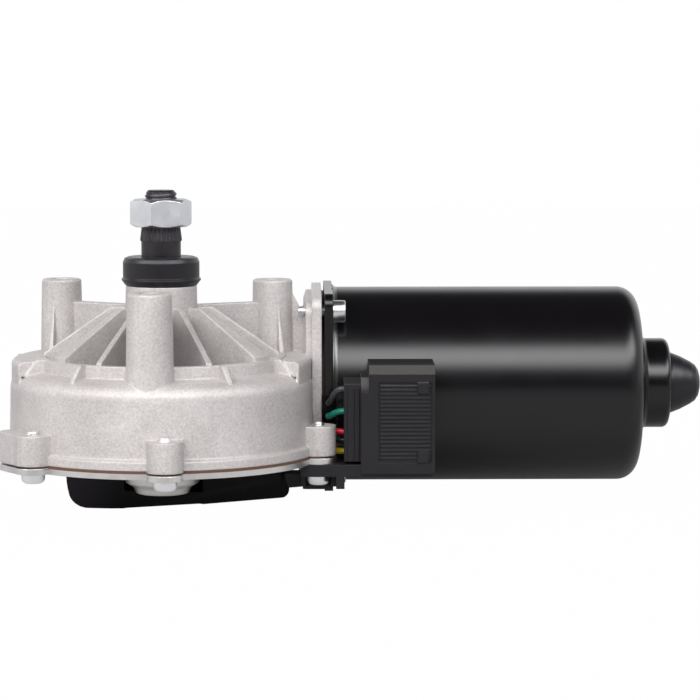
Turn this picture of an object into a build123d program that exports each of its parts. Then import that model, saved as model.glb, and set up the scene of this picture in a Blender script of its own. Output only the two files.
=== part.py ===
from build123d import *
import os
from math import acos, cos, degrees, pi, radians, sin, sqrt, tan

os.makedirs("parts", exist_ok=True)

# Windscreen wiper gear motor, in millimetres.
# +Z runs up the output shaft, +X along the motor, -Y is the side of the plug connector.
# The origin is on the output shaft's axis, in the plane of the three mounting faces.

# ---- fits ----
press_gap = 0.02  # round faces that are pressed or clamped together
run_gap = 0.04  # running fit of a shaft in a bush, per side
seal_gap = 0.1  # rubber lips and loose guides, per side
free_gap = 0.3  # round faces that only pass each other
bolt_gap = 0.25  # screw shank in a plain hole, per side

# ---- output shaft ----
shaft_r = 6.2
thread_r = 5.0
thread_core_r = 4.0
thread_point = 0.7
shaft_bevel = 0.8
thread_groove = 0.4  # room for the thread's ridge above the nut
shaft_top_z = 29.3
cone_bottom_z = 12.3
cone_wide_z = 13.5
cone_top_z = 17.9
cone_wide_r = 6.6
cone_top_r = 6.05
serration_count = 30
serration_depth = 0.35
nut_flats = 17.0
nut_height = 8.6
nut_chamfer = 0.92
nut_turn = 14.3

# ---- hub and its rubber seal ----
hub_r = 11.15
hub_taper_r = 0.5
hub_top_z = -0.6
spigot_r = 9.6
spigot_top_z = 6.2
seal_r = 12.0
seal_lip_r = 12.45
seal_lip_z = 1.6
seal_foot_r = 11.4
seal_top_z = 8.5
seal_bevel = 1.6
seal_lip_edge = 0.4
seal_mouth = 2.2
bush_r = 8.4
bush_length = 12.0

# ---- gear housing ----
ring_top_z = -22.5
ring_wall = 2.6
ring_draft = 0.2
roof_top_z = -26.6
roof_thickness = 3.0
ring_foot_z = -26.4
shoulder_z = -27.0
dish_r = 47.4
ring_r = dish_r - 8.4
dish_draft = 0.4
dish_wall = 3.0
dish_round = 5.0
rim_r = dish_r + 1.6
rim_top_z = -49.5
rim_bevel = 0.7
dish_bottom_z = -52.9
inner_corner = 3.2
ledge_top_z = -23.0
ledge_round = 1.8
ledge_inset = 0.4
ledge_first = -23.6
ledge_last = 202.5

# ---- three mounting pillars ----
mount_radius = ring_r + 0.1
mount_turn = -92.7
mount_count = 3
front_pillar_r = 6.8
side_pillar_r = 6.3
pillar_taper_r = 0.6
pillar_round = 0.5
pillar_foot_z = -31.0
mount_hole_r = 3.4
mount_hole_depth = 16.0
web_thickness = 3.6
web_top_z = -7.0

# ---- ribs between hub and ring ----
rib_top_z = -7.3
rib_shelf_r = 16.0
rib_thickness = 1.8
rib_sink = 0.6
fan_rib_inset = 0.8
fan_rib_rise = 1.4
flange_rib_top_z = -4.6
flange_rib_end_z = -12.5
thin_rib_angles = (241.5, 295.5, 0.0, 60.0, 87.0, 115.0, 180.0)
fan_rib_angles = ((213.8, 221.7), (321.0, 332.5))
gusset_angles = (202.5, 235.0, 300.0, 336.4)
gusset_thickness = 1.8
gusset_top = 2.2
fin_angles = (288.0, 252.0)
fin_thickness = 1.9
fin_edge = 0.3
fin_reach = 4.2
fin_top_z = -7.5

# ---- worm gear ----
wheel_teeth = 50
module_axial = 1.25
worm_pitch_r = 5.65
pressure_angle = 20.0
flank_gap = 0.12
worm_turns = 7
worm_relief = 3.0
shaft_tip = 0.6
wheel_face = 9.4
wheel_rim_r = 25.5
wheel_hub_r = 9.5
wheel_web = 4.6
wheel_hub_drop = 3.2
pocket_count = 6
pocket_r = 5.0
clip_thickness = 1.2
clip_groove_r = 5.6
clip_outer_r = 8.4
clip_gap = 5.0
shaft_foot = 6.0

# ---- motor axis ----
wheel_pitch_r = module_axial * wheel_teeth / 2
motor_y = wheel_pitch_r + worm_pitch_r
motor_z = -35.6

# ---- worm tunnel, neck and flange of the housing ----
tunnel_r = 9.8
tunnel_bore_r = 7.9
tunnel_end_x = -dish_r - 2.1
tunnel_floor_x = tunnel_end_x + 6.5
tunnel_chamfer = 1.2
neck_r = 11.9
flange_face_x = dish_r + 3.0
neck_start_x = flange_face_x - 23.4
flange_step_x = flange_face_x - 3.1
flange_foot_x = flange_face_x - 5.8
yoke_r = 31.6
flange_half = yoke_r - 0.6
flange_step_half = flange_half - 2.1
flange_edge = 0.8
flange_edge_slope = 74.0
flange_corner = 4.0
flange_bore_r = 21.0
flange_bore_depth = 2.4

# ---- bearings ----
armature_r = 4.0
ball_bearing_r = 9.5
ball_bearing_width = 6.0
end_bush_length = 7.0
thrust_pad_thickness = 1.4
end_float = 0.1
rear_bearing_width = 7.0
rear_bearing_set = 0.6
bearing_groove = 1.2
bearing_groove_depth = 0.5
bearing_clip_thickness = 1.2
bearing_clip_width = 1.9
bearing_clip_gap = 5.0

# ---- cover plate side ----
lug_bolt_r = rim_r + 1.3
lug_r = 5.5
lug_top_z = -43.6
lug_angles = (221.2, 273.5, 348.0, 58.0, 104.0, 150.0)
left_lug_angle = 209.5
cover_screw_r = 2.0
cover_screw_head_r = 3.6
cover_screw_head = 3.0
cover_screw_tip = 1.0
screw_point = 0.6
gasket_thickness = 0.6
gasket_width = 4.0
gasket_inset = 0.3
gasket_inner_r = rim_r - gasket_width
plate_thickness = 1.9
plate_r = rim_r + 0.1
cup_skirt_r = 13.2
cup_shoulder_r = 11.6
cup_r = 8.8
cup_shoulder_z = -62.8
cup_step_z = -64.2
cup_bottom_z = -66.3
cup_round = 1.2
cup_edge = 0.4

window_y = 21.5
window_width = 24.0
window_depth = 8.0

# ---- parking switch, under the plate ----
park_front_y = 7.5
park_clearance = 1.4
park_corner = 3.0
park_back_r = plate_r - 3.2
park_left_x = 14.9 - park_back_r
park_right_x = park_back_r - 5.9
park_low_x = park_left_x + 19.0
park_bottom_z = -72.6
park_wall = 1.8
park_lean = 2.6
park_left_round = 5.0
park_right_round = 2.4
park_slope = 4.2
park_dip = 0.4
park_low_round = 120.0
finger_xs = (-7.0, 0.0, 7.0)
finger_width = 3.0
finger_half = 0.25
finger_spring = 4.4
finger_hook = 1.0
carrier_height = 6.0
carrier_thickness = 2.6
disc_thickness = 0.6
disc_inner_r = 18.5
disc_outer_r = 28.0
disc_gap_angle = 30.0

# ---- motor can ----
yoke_face_x = flange_face_x + 0.9
yoke_flange_thickness = 2.7
yoke_wall = 2.2
yoke_flange_half = yoke_r
yoke_straight = 95.9
yoke_end = 7.8
yoke_round_x = 6.4
yoke_round_r = 6.6
boss_bevel = 1.2
boss_round = 2.0
end_boss_r = 14.6
end_boss_length = 8.9
end_boss_bore_r = 10.0
end_plug_length = 10.5
flange_bolt = yoke_r - 5.8
yoke_screw_r = 2.0
yoke_screw_head_r = 3.5
yoke_screw_head = 4.0
yoke_screw_out = 1.6  # how far the front pair comes through the flange
yoke_screw_depth = 4.2  # how deep the back pair goes

# ---- armature ----
magnet_thickness = 5.1
magnet_arc = 132.0
magnet_gap_x = 21.7
magnet_length = 60.0
clip_side_gap = 1.5
clip_inset = 6.0
clip_spring = 1.2
magnet_inner_r = yoke_r - yoke_wall - magnet_thickness
air_gap = 0.7
core_inset = 3.0
core_length = magnet_length - 2 * core_inset
core_r = magnet_inner_r - air_gap
core_slots = 12
slot_width = 2.0
slot_depth = 9.0
slot_foot_r = 2.6
winding_r = core_r - 2.1
winding_overhang = 7.5
winding_gap = 2.4
winding_round = 3.0
commutator_gap_x = 3.3
commutator_length = 11.6
commutator_r = 11.0
commutator_bars = 24
bar_slot_width = 0.5
riser = 1.6

# ---- brush gear ----
brush_plate_r = yoke_r - yoke_wall - 1.0
brush_rim_r = flange_half - 0.6
brush_plate_thickness = 2.2
brush_plate_bore_r = commutator_r + 2.4
brush_width = 5.0
brush_axial = 6.0
brush_length = 9.0
brush_angles = (0.0, 120.0, 240.0)
box_wall = 0.8
box_start_r = commutator_r + 2.0
box_length = brush_plate_r - 3.4 - box_start_r

# ---- connector ----
block_left_x = flange_face_x + 12.0
block_step_x = block_left_x + 2.5
block_right_x = block_left_x + 23.0
block_gap = 0.7
block_depth = 21.6
block_back_y = motor_y - yoke_r - block_gap
block_front_y = block_back_y - block_depth
block_top_z = -24.4
block_bottom_z = -58.3
block_step_z = -28.2
block_bevel = 2.6
block_step_bevel = 4.5
cavity_round = 1.2
block_wall = 2.5
cavity_floor_x = block_left_x + 5.2
entry_left_x = block_left_x - 5.2
entry_top_z = -30.2
entry_bottom_z = -54.6
recess_left_x = block_left_x + 5.5
recess_right_x = block_right_x - 1.0
recess_top_z = -29.6
recess_bottom_z = -54.7
recess_depth = 0.5
recess_ridges = 19
ridge_height = 0.2
ridge_width = 0.6
ridge_inset = 0.4
catch_size = 3.5
catch_inset = 2.7
catch_height = 0.5
bracket_thickness = 3.8
bracket_foot = 2.6
foot_height = cover_screw_head + 0.8
blade_thickness = 0.8
blade_width = 2.2
blade_length = 15.2

# ---- leads ----
lead_r = 1.0
lead_y = block_back_y - 7.6
lead_exit_x = flange_face_x + 2.15
lead_exit_y = block_back_y
lead_bend_y = block_back_y - 4.2
lead_bend_x = flange_face_x + 4.85
lead_seat = 3.8
grommet_width = 4.2
grommet_edge = 1.5
bend_share = 0.45
lead_zs = (-33.0, -40.1, -46.7, -49.4, -52.8)
lead_exit_zs = (-38.2, -42.4, -46.0, -49.2, -52.4)
lead_names = ("lead_grey", "lead_green", "lead_red", "lead_black", "lead_yellow")

# ---- worked out from the above ----
yoke_shoulder_x = yoke_face_x + yoke_straight
yoke_end_x = yoke_shoulder_x + yoke_end
end_boss_x = yoke_end_x + end_boss_length
magnet_start_x = yoke_face_x + magnet_gap_x
magnet_end_x = magnet_start_x + magnet_length
core_start_x = magnet_start_x + core_inset
core_end_x = core_start_x + core_length
commutator_x = yoke_face_x + commutator_gap_x
blade_tip_x = block_left_x + blade_length
roof_z = roof_top_z - roof_thickness
cavity_r = dish_r - dish_wall
gasket_z = dish_bottom_z - gasket_thickness
plate_z = gasket_z - plate_thickness
wheel_top_z = motor_z + wheel_face / 2
wheel_bottom_z = motor_z - wheel_face / 2
clip_z = wheel_bottom_z - wheel_hub_drop
shaft_foot_z = clip_z - shaft_foot
bearing_seat_x = flange_face_x - flange_bore_depth - bearing_clip_thickness - ball_bearing_width
yoke_inner_r = yoke_r - yoke_wall
yoke_flange_x = yoke_face_x + yoke_flange_thickness
yoke_screw_rows = (
    (-1, flange_face_x - flange_foot_x + yoke_screw_out),
    (1, yoke_screw_depth),
)
mount_angles = [mount_turn + 360 / mount_count * i for i in range(mount_count)]
pillar_radii = [front_pillar_r, side_pillar_r, side_pillar_r]


def motor_section(x):
    """The plane across the motor axis at a given x; its local x is row Y and its local y is row Z."""
    return Plane(origin=(x, motor_y, motor_z), x_dir=(0, 1, 0), z_dir=(1, 0, 0))


def brush_section(x, angle):
    """The same plane with its local x turned to an angle about the motor axis."""
    turn = radians(angle)
    return Plane(origin=(x, motor_y, motor_z), x_dir=(0, cos(turn), sin(turn)), z_dir=(1, 0, 0))


def radial_plane(angle):
    """The upright plane through the output axis at an angle; its local x is the radius, local y is Z."""
    turn = radians(angle)
    return Plane(origin=(0, 0, 0), x_dir=(cos(turn), sin(turn), 0), z_dir=(sin(turn), -cos(turn), 0))


def polar(radius, angle, z=0):
    """A point at a radius and an angle about the output axis."""
    return (radius * cos(radians(angle)), radius * sin(radians(angle)), z)


def finish_part(builder, name):
    """Labels a finished piece and writes its STEP file."""
    builder.part.label = name
    export_step(builder.part, f"parts/{name}.step")


motor_axis = Axis((0, motor_y, motor_z), (1, 0, 0))
motor_profile_plane = Plane(origin=(0, motor_y, motor_z), x_dir=(1, 0, 0), z_dir=(0, 0, 1))
left_lug_arc = CenterArc((0, 0), lug_bolt_r - 0.6, left_lug_angle, lug_angles[0] - left_lug_angle)

# ============================ housing ============================

with BuildPart() as gear_housing:
    # hub, pocketed roof, ring, shoulder and dish wall, as one turned shell
    with BuildSketch(Plane.XZ):
        with BuildLine():
            Polyline(
                (0, spigot_top_z),
                (spigot_r, spigot_top_z),
                (spigot_r, hub_top_z),
                (hub_r, hub_top_z),
                (hub_r + hub_taper_r, roof_top_z),
                (ring_r - ring_wall, roof_top_z),
                (ring_r - ring_wall, ring_top_z),
                (ring_r, ring_top_z),
                (ring_r + ring_draft, ring_foot_z),
                (dish_r - dish_round, shoulder_z),
            )
            ThreePointArc(
                (dish_r - dish_round, shoulder_z),
                (
                    dish_r - dish_round * (1 - sin(radians(45))),
                    shoulder_z - dish_round * (1 - cos(radians(45))),
                ),
                (dish_r, shoulder_z - dish_round),
            )
            Polyline(
                (dish_r, shoulder_z - dish_round),
                (dish_r + dish_draft, rim_top_z),
                (rim_r, rim_top_z - rim_bevel),
                (rim_r, dish_bottom_z),
                (cavity_r, dish_bottom_z),
                (cavity_r, roof_z - inner_corner),
                (cavity_r - inner_corner, roof_z),
                (0, roof_z),
                (0, spigot_top_z),
            )
        make_face()
    revolve(axis=Axis.Z)
    # raised ledge round the back of the shell, level with the ring
    ledge_r = dish_r - ledge_inset
    with BuildSketch(radial_plane(ledge_first)) as ledge_profile:
        with BuildLine():
            Polyline(
                (ring_r - 1, roof_top_z - 1),
                (ring_r - 1, ledge_top_z),
                (ledge_r, ledge_top_z),
                (ledge_r, shoulder_z - dish_round),
                (ledge_r - 1, shoulder_z - dish_round),
                (ledge_r - 1, roof_top_z - 1),
                close=True,
            )
        make_face()
        fillet(ledge_profile.vertices().group_by(Axis.Y)[-1].sort_by(Axis.X)[-1], ledge_round)
    revolve(axis=Axis.Z, revolution_arc=ledge_last - ledge_first)
    # worm tunnel, neck and the flange that carries the motor
    with BuildSketch(motor_profile_plane):
        with BuildLine():
            Polyline(
                (tunnel_end_x, 0),
                (tunnel_end_x, tunnel_r - tunnel_chamfer),
                (tunnel_end_x + tunnel_chamfer, tunnel_r),
                (neck_start_x + 2, tunnel_r),
                (neck_start_x + 2, 0),
                close=True,
            )
        make_face()
    revolve(axis=motor_axis)
    with BuildSketch(motor_section(neck_start_x)):
        Circle(neck_r)
    extrude(amount=flange_step_x - neck_start_x)
    with BuildSketch(motor_section(flange_step_x)):
        RectangleRounded(2 * flange_step_half, 2 * flange_step_half, flange_corner)
    extrude(amount=flange_foot_x + flange_edge - flange_step_x)
    with BuildSketch(motor_section(flange_foot_x + flange_edge)):
        RectangleRounded(2 * flange_step_half, 2 * flange_step_half, flange_corner)
    extrude(amount=-flange_edge, taper=flange_edge_slope)
    with BuildSketch(motor_section(flange_step_x)):
        RectangleRounded(2 * flange_half, 2 * flange_half, flange_corner)
    extrude(amount=flange_face_x - flange_step_x)
    # mounting pillars with their webs to the hub
    for angle, radius in zip(mount_angles, pillar_radii):
        x, y, _ = polar(mount_radius, angle)
        with BuildSketch(Plane(origin=(x, y, 0), x_dir=(1, 0, 0), z_dir=(0, -1, 0))):
            with BuildLine():
                Polyline(
                    (0, pillar_foot_z),
                    (0, 0),
                    (radius - pillar_round, 0),
                    (radius, -pillar_round),
                    (radius + pillar_taper_r, pillar_foot_z),
                    close=True,
                )
            make_face()
        revolve(axis=Axis((x, y, 0), (0, 0, 1)))
        with BuildSketch(radial_plane(angle)):
            with BuildLine():
                Polyline(
                    (hub_r - 1, roof_top_z - 1),
                    (hub_r - 1, web_top_z),
                    (mount_radius, web_top_z),
                    (mount_radius, roof_top_z - 1),
                    close=True,
                )
            make_face()
        extrude(amount=web_thickness / 2, both=True)
    # wedge-shaped fins on the fronts of the two side pillars
    for angle, fin_angle in zip(mount_angles[1:], fin_angles):
        with BuildSketch(Plane.XY.offset(ring_foot_z)):
            with Locations(polar(mount_radius, angle)):
                Rectangle(
                    side_pillar_r + fin_reach,
                    fin_thickness,
                    rotation=fin_angle,
                    align=(Align.MIN, Align.CENTER),
                )
        with BuildSketch(Plane.XY.offset(fin_top_z)):
            with Locations(polar(mount_radius, angle)):
                Rectangle(
                    side_pillar_r, fin_edge, rotation=fin_angle, align=(Align.MIN, Align.CENTER)
                )
        loft(ruled=True)
    # rib from the right pillar to the motor flange
    right_x, right_y, _ = polar(mount_radius, mount_angles[1])
    with BuildSketch(Plane(origin=(0, right_y, 0), x_dir=(1, 0, 0), z_dir=(0, -1, 0))):
        with BuildLine():
            Polyline(
                (right_x, flange_rib_top_z),
                (right_x + side_pillar_r, flange_rib_top_z),
                (flange_foot_x + rib_sink, flange_rib_end_z),
                (flange_foot_x + rib_sink, motor_z),
                (right_x, motor_z + neck_r),
                close=True,
            )
        make_face()
    extrude(amount=rib_thickness, both=True)
    # thin ribs between hub and ring
    for angle in thin_rib_angles:
        with BuildSketch(radial_plane(angle)):
            with BuildLine():
                Polyline(
                    (hub_r - 1, roof_top_z - 1),
                    (hub_r - 1, rib_top_z),
                    (rib_shelf_r, rib_top_z),
                    (ring_r - ring_wall + rib_sink, ring_top_z + rib_sink),
                    (ring_r - ring_wall + rib_sink, roof_top_z - 1),
                    close=True,
                )
            make_face()
        extrude(amount=rib_thickness / 2, both=True)
    # broad ribs, bounded by two radial planes
    for first, last in fan_rib_angles:
        with BuildSketch(radial_plane(first)):
            with BuildLine():
                Polyline(
                    (hub_r - 1, roof_top_z - 1),
                    (hub_r - 1, rib_top_z),
                    (rib_shelf_r, rib_top_z),
                    (ring_r - fan_rib_inset, ring_top_z + fan_rib_rise),
                    (ring_r - fan_rib_inset, roof_top_z - 1),
                    close=True,
                )
            make_face()
        revolve(axis=Axis.Z, revolution_arc=last - first)
    # small gussets outside the ring
    for angle in gusset_angles:
        with BuildSketch(radial_plane(angle)):
            with BuildLine():
                Polyline(
                    (ring_r - 1, roof_top_z - 1),
                    (ring_r - 1, ring_top_z),
                    (ring_r + gusset_top, ring_top_z),
                    (dish_r - dish_round / 2, shoulder_z),
                    (dish_r - dish_round / 2, shoulder_z - 2),
                    close=True,
                )
            make_face()
        extrude(amount=gusset_thickness / 2, both=True)
    # lugs for the cover screws, the left one drawn out along the rim
    for angle in lug_angles:
        with BuildSketch(Plane.XY.offset(dish_bottom_z)):
            with Locations(polar(lug_bolt_r, angle)):
                Circle(lug_r)
            with Locations(polar(lug_bolt_r - lug_r, angle)):
                Rectangle(2 * lug_r, 2 * lug_r, rotation=angle)
        extrude(amount=lug_top_z - dish_bottom_z)
    with BuildSketch(Plane.XY.offset(dish_bottom_z)):
        SlotArc(left_lug_arc, 2 * lug_r)
    extrude(amount=lug_top_z - dish_bottom_z)
    # gear space, cut clear of the tunnel and the lugs
    with BuildSketch(Plane.XZ):
        with BuildLine():
            Polyline(
                (0, dish_bottom_z),
                (cavity_r, dish_bottom_z),
                (cavity_r, roof_z - inner_corner),
                (cavity_r - inner_corner, roof_z),
                (0, roof_z),
                close=True,
            )
        make_face()
    revolve(axis=Axis.Z, mode=Mode.SUBTRACT)
    # shaft bore, worm bore, bearing seat and the recess in the flange
    with BuildSketch(Plane.XY.offset(spigot_top_z)):
        Circle(bush_r)
    extrude(amount=roof_z - spigot_top_z - 1, mode=Mode.SUBTRACT)
    with BuildSketch(motor_section(tunnel_floor_x)):
        Circle(tunnel_bore_r)
    extrude(amount=flange_face_x - tunnel_floor_x, mode=Mode.SUBTRACT)
    with BuildSketch(motor_section(bearing_seat_x)):
        Circle(ball_bearing_r + press_gap)
    extrude(amount=flange_face_x - bearing_seat_x, mode=Mode.SUBTRACT)
    with BuildSketch(motor_section(flange_face_x)):
        Circle(flange_bore_r)
    extrude(amount=-flange_bore_depth, mode=Mode.SUBTRACT)
    # blind threaded holes of the mounting pillars
    for angle in mount_angles:
        with Locations(polar(mount_radius, angle)):
            Cylinder(
                mount_hole_r,
                mount_hole_depth,
                align=(Align.CENTER, Align.CENTER, Align.MAX),
                mode=Mode.SUBTRACT,
            )
    # threaded holes of the cover lugs and of the flange
    with BuildSketch(Plane.XY.offset(dish_bottom_z)):
        for angle in lug_angles:
            with Locations(polar(lug_bolt_r, angle)):
                Circle(cover_screw_r + press_gap)
    extrude(amount=lug_top_z + cover_screw_tip + free_gap - dish_bottom_z, mode=Mode.SUBTRACT)
    for side, depth in yoke_screw_rows:
        with BuildSketch(motor_section(flange_face_x)):
            with Locations((side * flange_bolt, 0)):
                with GridLocations(0, 2 * flange_bolt, 1, 2):
                    Circle(yoke_screw_r + press_gap)
        extrude(amount=-min(depth + free_gap, flange_face_x - flange_foot_x), mode=Mode.SUBTRACT)
finish_part(gear_housing, "gear_housing")

with BuildPart() as output_bushes:
    for top_z in (spigot_top_z, roof_z + bush_length):
        with BuildSketch(Plane.XY.offset(top_z)):
            Circle(bush_r - press_gap)
            Circle(shaft_r + run_gap, mode=Mode.SUBTRACT)
        extrude(amount=-bush_length)
finish_part(output_bushes, "output_bushes")

with BuildPart() as shaft_seal:
    with BuildSketch(Plane.XZ):
        with BuildLine():
            Polyline(
                (shaft_r + seal_gap, seal_top_z),
                (seal_r - seal_bevel, seal_top_z),
                (seal_r - seal_bevel / 3, seal_top_z - seal_bevel / 4),
                (seal_r, seal_top_z - seal_bevel),
                (seal_r, seal_lip_z + seal_lip_edge),
                (seal_lip_r, seal_lip_z),
                (seal_lip_r, seal_lip_z - seal_lip_edge),
                (seal_foot_r, hub_top_z + seal_lip_edge),
                (seal_foot_r - seal_lip_edge, hub_top_z),
                (spigot_r + press_gap, hub_top_z),
                (spigot_r + press_gap, spigot_top_z),
                (shaft_r + seal_mouth, spigot_top_z),
                (shaft_r + seal_gap, spigot_top_z + seal_mouth / 2),
                close=True,
            )
        make_face()
    revolve(axis=Axis.Z)
finish_part(shaft_seal, "shaft_seal")

# ---- cover plate side ----

# plate and gasket are cut away beside the motor flange
notch_corner = (flange_foot_x - free_gap, motor_y - flange_half - free_gap)
notch_size = (2 * lug_bolt_r - flange_foot_x, lug_bolt_r)

with BuildPart() as cover_gasket:
    with BuildSketch(Plane.XY.offset(dish_bottom_z)):
        Circle(rim_r)
        for angle in lug_angles:
            with Locations(polar(lug_bolt_r, angle)):
                Circle(lug_r - gasket_inset)
            with Locations(polar(lug_bolt_r - lug_r, angle)):
                Rectangle(2 * lug_r, 2 * (lug_r - gasket_inset), rotation=angle)
        Circle(gasket_inner_r, mode=Mode.SUBTRACT)
        for angle in lug_angles:
            with Locations(polar(lug_bolt_r, angle)):
                Circle(cover_screw_r + bolt_gap, mode=Mode.SUBTRACT)
        with Locations(notch_corner):
            Rectangle(*notch_size, align=(Align.MIN, Align.MIN), mode=Mode.SUBTRACT)
    extrude(amount=-gasket_thickness)
finish_part(cover_gasket, "cover_gasket")

with BuildPart() as cover_plate:
    with BuildSketch(Plane.XY.offset(gasket_z)):
        Circle(plate_r)
        for angle in lug_angles:
            with Locations(polar(lug_bolt_r, angle)):
                Circle(lug_r)
            with Locations(polar(lug_bolt_r - lug_r, angle)):
                Rectangle(2 * lug_r, 2 * lug_r, rotation=angle)
    extrude(amount=-plate_thickness)
    with BuildSketch(Plane.XY.offset(gasket_z)):
        SlotArc(left_lug_arc, 2 * lug_r)
    extrude(amount=-plate_thickness)
    # pressed cup under the output shaft
    with BuildSketch(Plane.XZ):
        with BuildLine():
            Polyline(
                (0, gasket_z),
                (cup_skirt_r, gasket_z),
                (cup_skirt_r, plate_z),
                (cup_shoulder_r, cup_shoulder_z),
                (cup_r + cup_edge, cup_step_z),
                (cup_r, cup_bottom_z + cup_round),
            )
            ThreePointArc(
                (cup_r, cup_bottom_z + cup_round),
                (cup_r - cup_round * 0.3, cup_bottom_z + cup_round * 0.3),
                (cup_r - cup_round, cup_bottom_z),
            )
            Polyline((cup_r - cup_round, cup_bottom_z), (0, cup_bottom_z), (0, gasket_z))
        make_face()
    revolve(axis=Axis.Z)
    with BuildSketch(Plane.XZ):
        with BuildLine():
            Polyline(
                (0, gasket_z),
                (cup_skirt_r - plate_thickness - cup_edge, gasket_z),
                (cup_shoulder_r - plate_thickness, cup_shoulder_z + plate_thickness / 2),
                (cup_r - plate_thickness + cup_edge, cup_step_z + plate_thickness / 2),
                (cup_r - plate_thickness + cup_edge, cup_bottom_z + plate_thickness),
                (0, cup_bottom_z + plate_thickness),
                close=True,
            )
        make_face()
    revolve(axis=Axis.Z, mode=Mode.SUBTRACT)
    # screw holes, the window of the parking contacts and the notch beside the motor flange
    with BuildSketch(Plane.XY.offset(gasket_z)):
        for angle in lug_angles:
            with Locations(polar(lug_bolt_r, angle)):
                Circle(cover_screw_r + bolt_gap)
        with Locations((0, window_y)):
            Rectangle(window_width, window_depth)
        with Locations(notch_corner):
            Rectangle(*notch_size, align=(Align.MIN, Align.MIN))
    extrude(amount=-plate_thickness, mode=Mode.SUBTRACT)
finish_part(cover_plate, "cover_plate")

with BuildPart() as cover_screws:
    for index, angle in enumerate(lug_angles):
        # the screw of the right lug also clamps the connector's bracket
        head_z = plate_z - (bracket_thickness if index == 2 else 0)
        x, y, _ = polar(lug_bolt_r, angle)
        with BuildSketch(Plane(origin=(x, y, 0), x_dir=(1, 0, 0), z_dir=(0, -1, 0))):
            with BuildLine():
                Polyline(
                    (0, lug_top_z + cover_screw_tip),
                    (cover_screw_r - screw_point, lug_top_z + cover_screw_tip),
                    (cover_screw_r, lug_top_z + cover_screw_tip - screw_point),
                    (cover_screw_r, head_z),
                    (cover_screw_head_r, head_z),
                    (cover_screw_head_r, head_z - cover_screw_head + screw_point),
                    (cover_screw_head_r - screw_point, head_z - cover_screw_head),
                    (0, head_z - cover_screw_head),
                    close=True,
                )
            make_face()
        revolve(axis=Axis((x, y, 0), (0, 0, 1)))
finish_part(cover_screws, "cover_screws")

# the cover's outside and, drawn smaller by the wall, its hollow
park_shapes = []
for inset in (0, park_wall):
    left_x = park_left_x + inset
    right_x = park_right_x - inset
    front_y = park_front_y + inset
    back_r = park_back_r - inset
    bottom_z = park_bottom_z + inset
    with BuildPart() as park_shape:
        with BuildSketch(Plane.XY.offset(plate_z)) as park_outline:
            with BuildLine():
                Polyline(
                    (left_x, sqrt(back_r**2 - left_x**2)),
                    (left_x, front_y),
                    (right_x, front_y),
                    (right_x, sqrt(back_r**2 - right_x**2)),
                )
                ThreePointArc(
                    (right_x, sqrt(back_r**2 - right_x**2)),
                    (0, back_r),
                    (left_x, sqrt(back_r**2 - left_x**2)),
                )
            make_face()
            fillet(park_outline.vertices(), park_corner - inset / 2)
            Circle(cup_skirt_r + park_clearance + inset, mode=Mode.SUBTRACT)
        extrude(amount=park_bottom_z - 1 - plate_z)
        # front view: a leaning, well rounded left end and a floor that rises towards the motor
        with BuildSketch(Plane.XZ) as park_front:
            with BuildLine():
                Polyline(
                    (left_x, plate_z),
                    (right_x, plate_z),
                    (right_x, bottom_z + park_slope),
                    (park_low_x, bottom_z),
                    (left_x + park_lean, bottom_z + park_dip),
                    close=True,
                )
            make_face()
            fillet(park_front.vertices().sort_by(Axis.Y)[1], park_left_round - inset)
            fillet(park_front.vertices().sort_by(Axis.Y)[0], park_low_round)
            right_end = park_front.vertices().group_by(Axis.X)[-1]
            fillet(right_end.sort_by(Axis.Y)[0], park_right_round - inset)
        extrude(amount=-back_r, mode=Mode.INTERSECT)
    park_shapes.append(park_shape.part)

with BuildPart() as parking_cover:
    add(park_shapes[0])
    add(park_shapes[1], mode=Mode.SUBTRACT)
finish_part(parking_cover, "parking_cover")

finger_z = wheel_bottom_z - disc_thickness - free_gap

with BuildPart() as contact_carrier:
    with BuildSketch(Plane.XY.offset(plate_z)):
        with Locations((0, window_y - 2 - finger_half)):
            Rectangle(window_width - 2, carrier_thickness, align=(Align.CENTER, Align.MAX))
    extrude(amount=-carrier_height)
finish_part(contact_carrier, "contact_carrier")

with BuildPart() as contact_fingers:
    for x in finger_xs:
        with BuildSketch(Plane(origin=(x, 0, 0), x_dir=(0, 1, 0), z_dir=(1, 0, 0))):
            with BuildLine():
                Polyline(
                    (window_y - 2, plate_z - carrier_height),
                    (window_y - 2, gasket_z + 3 * finger_hook),
                    (window_y - 2 + finger_spring, finger_z - 2 * finger_half),
                    (window_y - 2 + finger_spring + finger_hook, finger_z - 1.6 * finger_hook),
                )
                offset(amount=finger_half)
            make_face()
        extrude(amount=finger_width / 2, both=True)
finish_part(contact_fingers, "contact_fingers")

# ============================ motor can ============================

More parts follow.
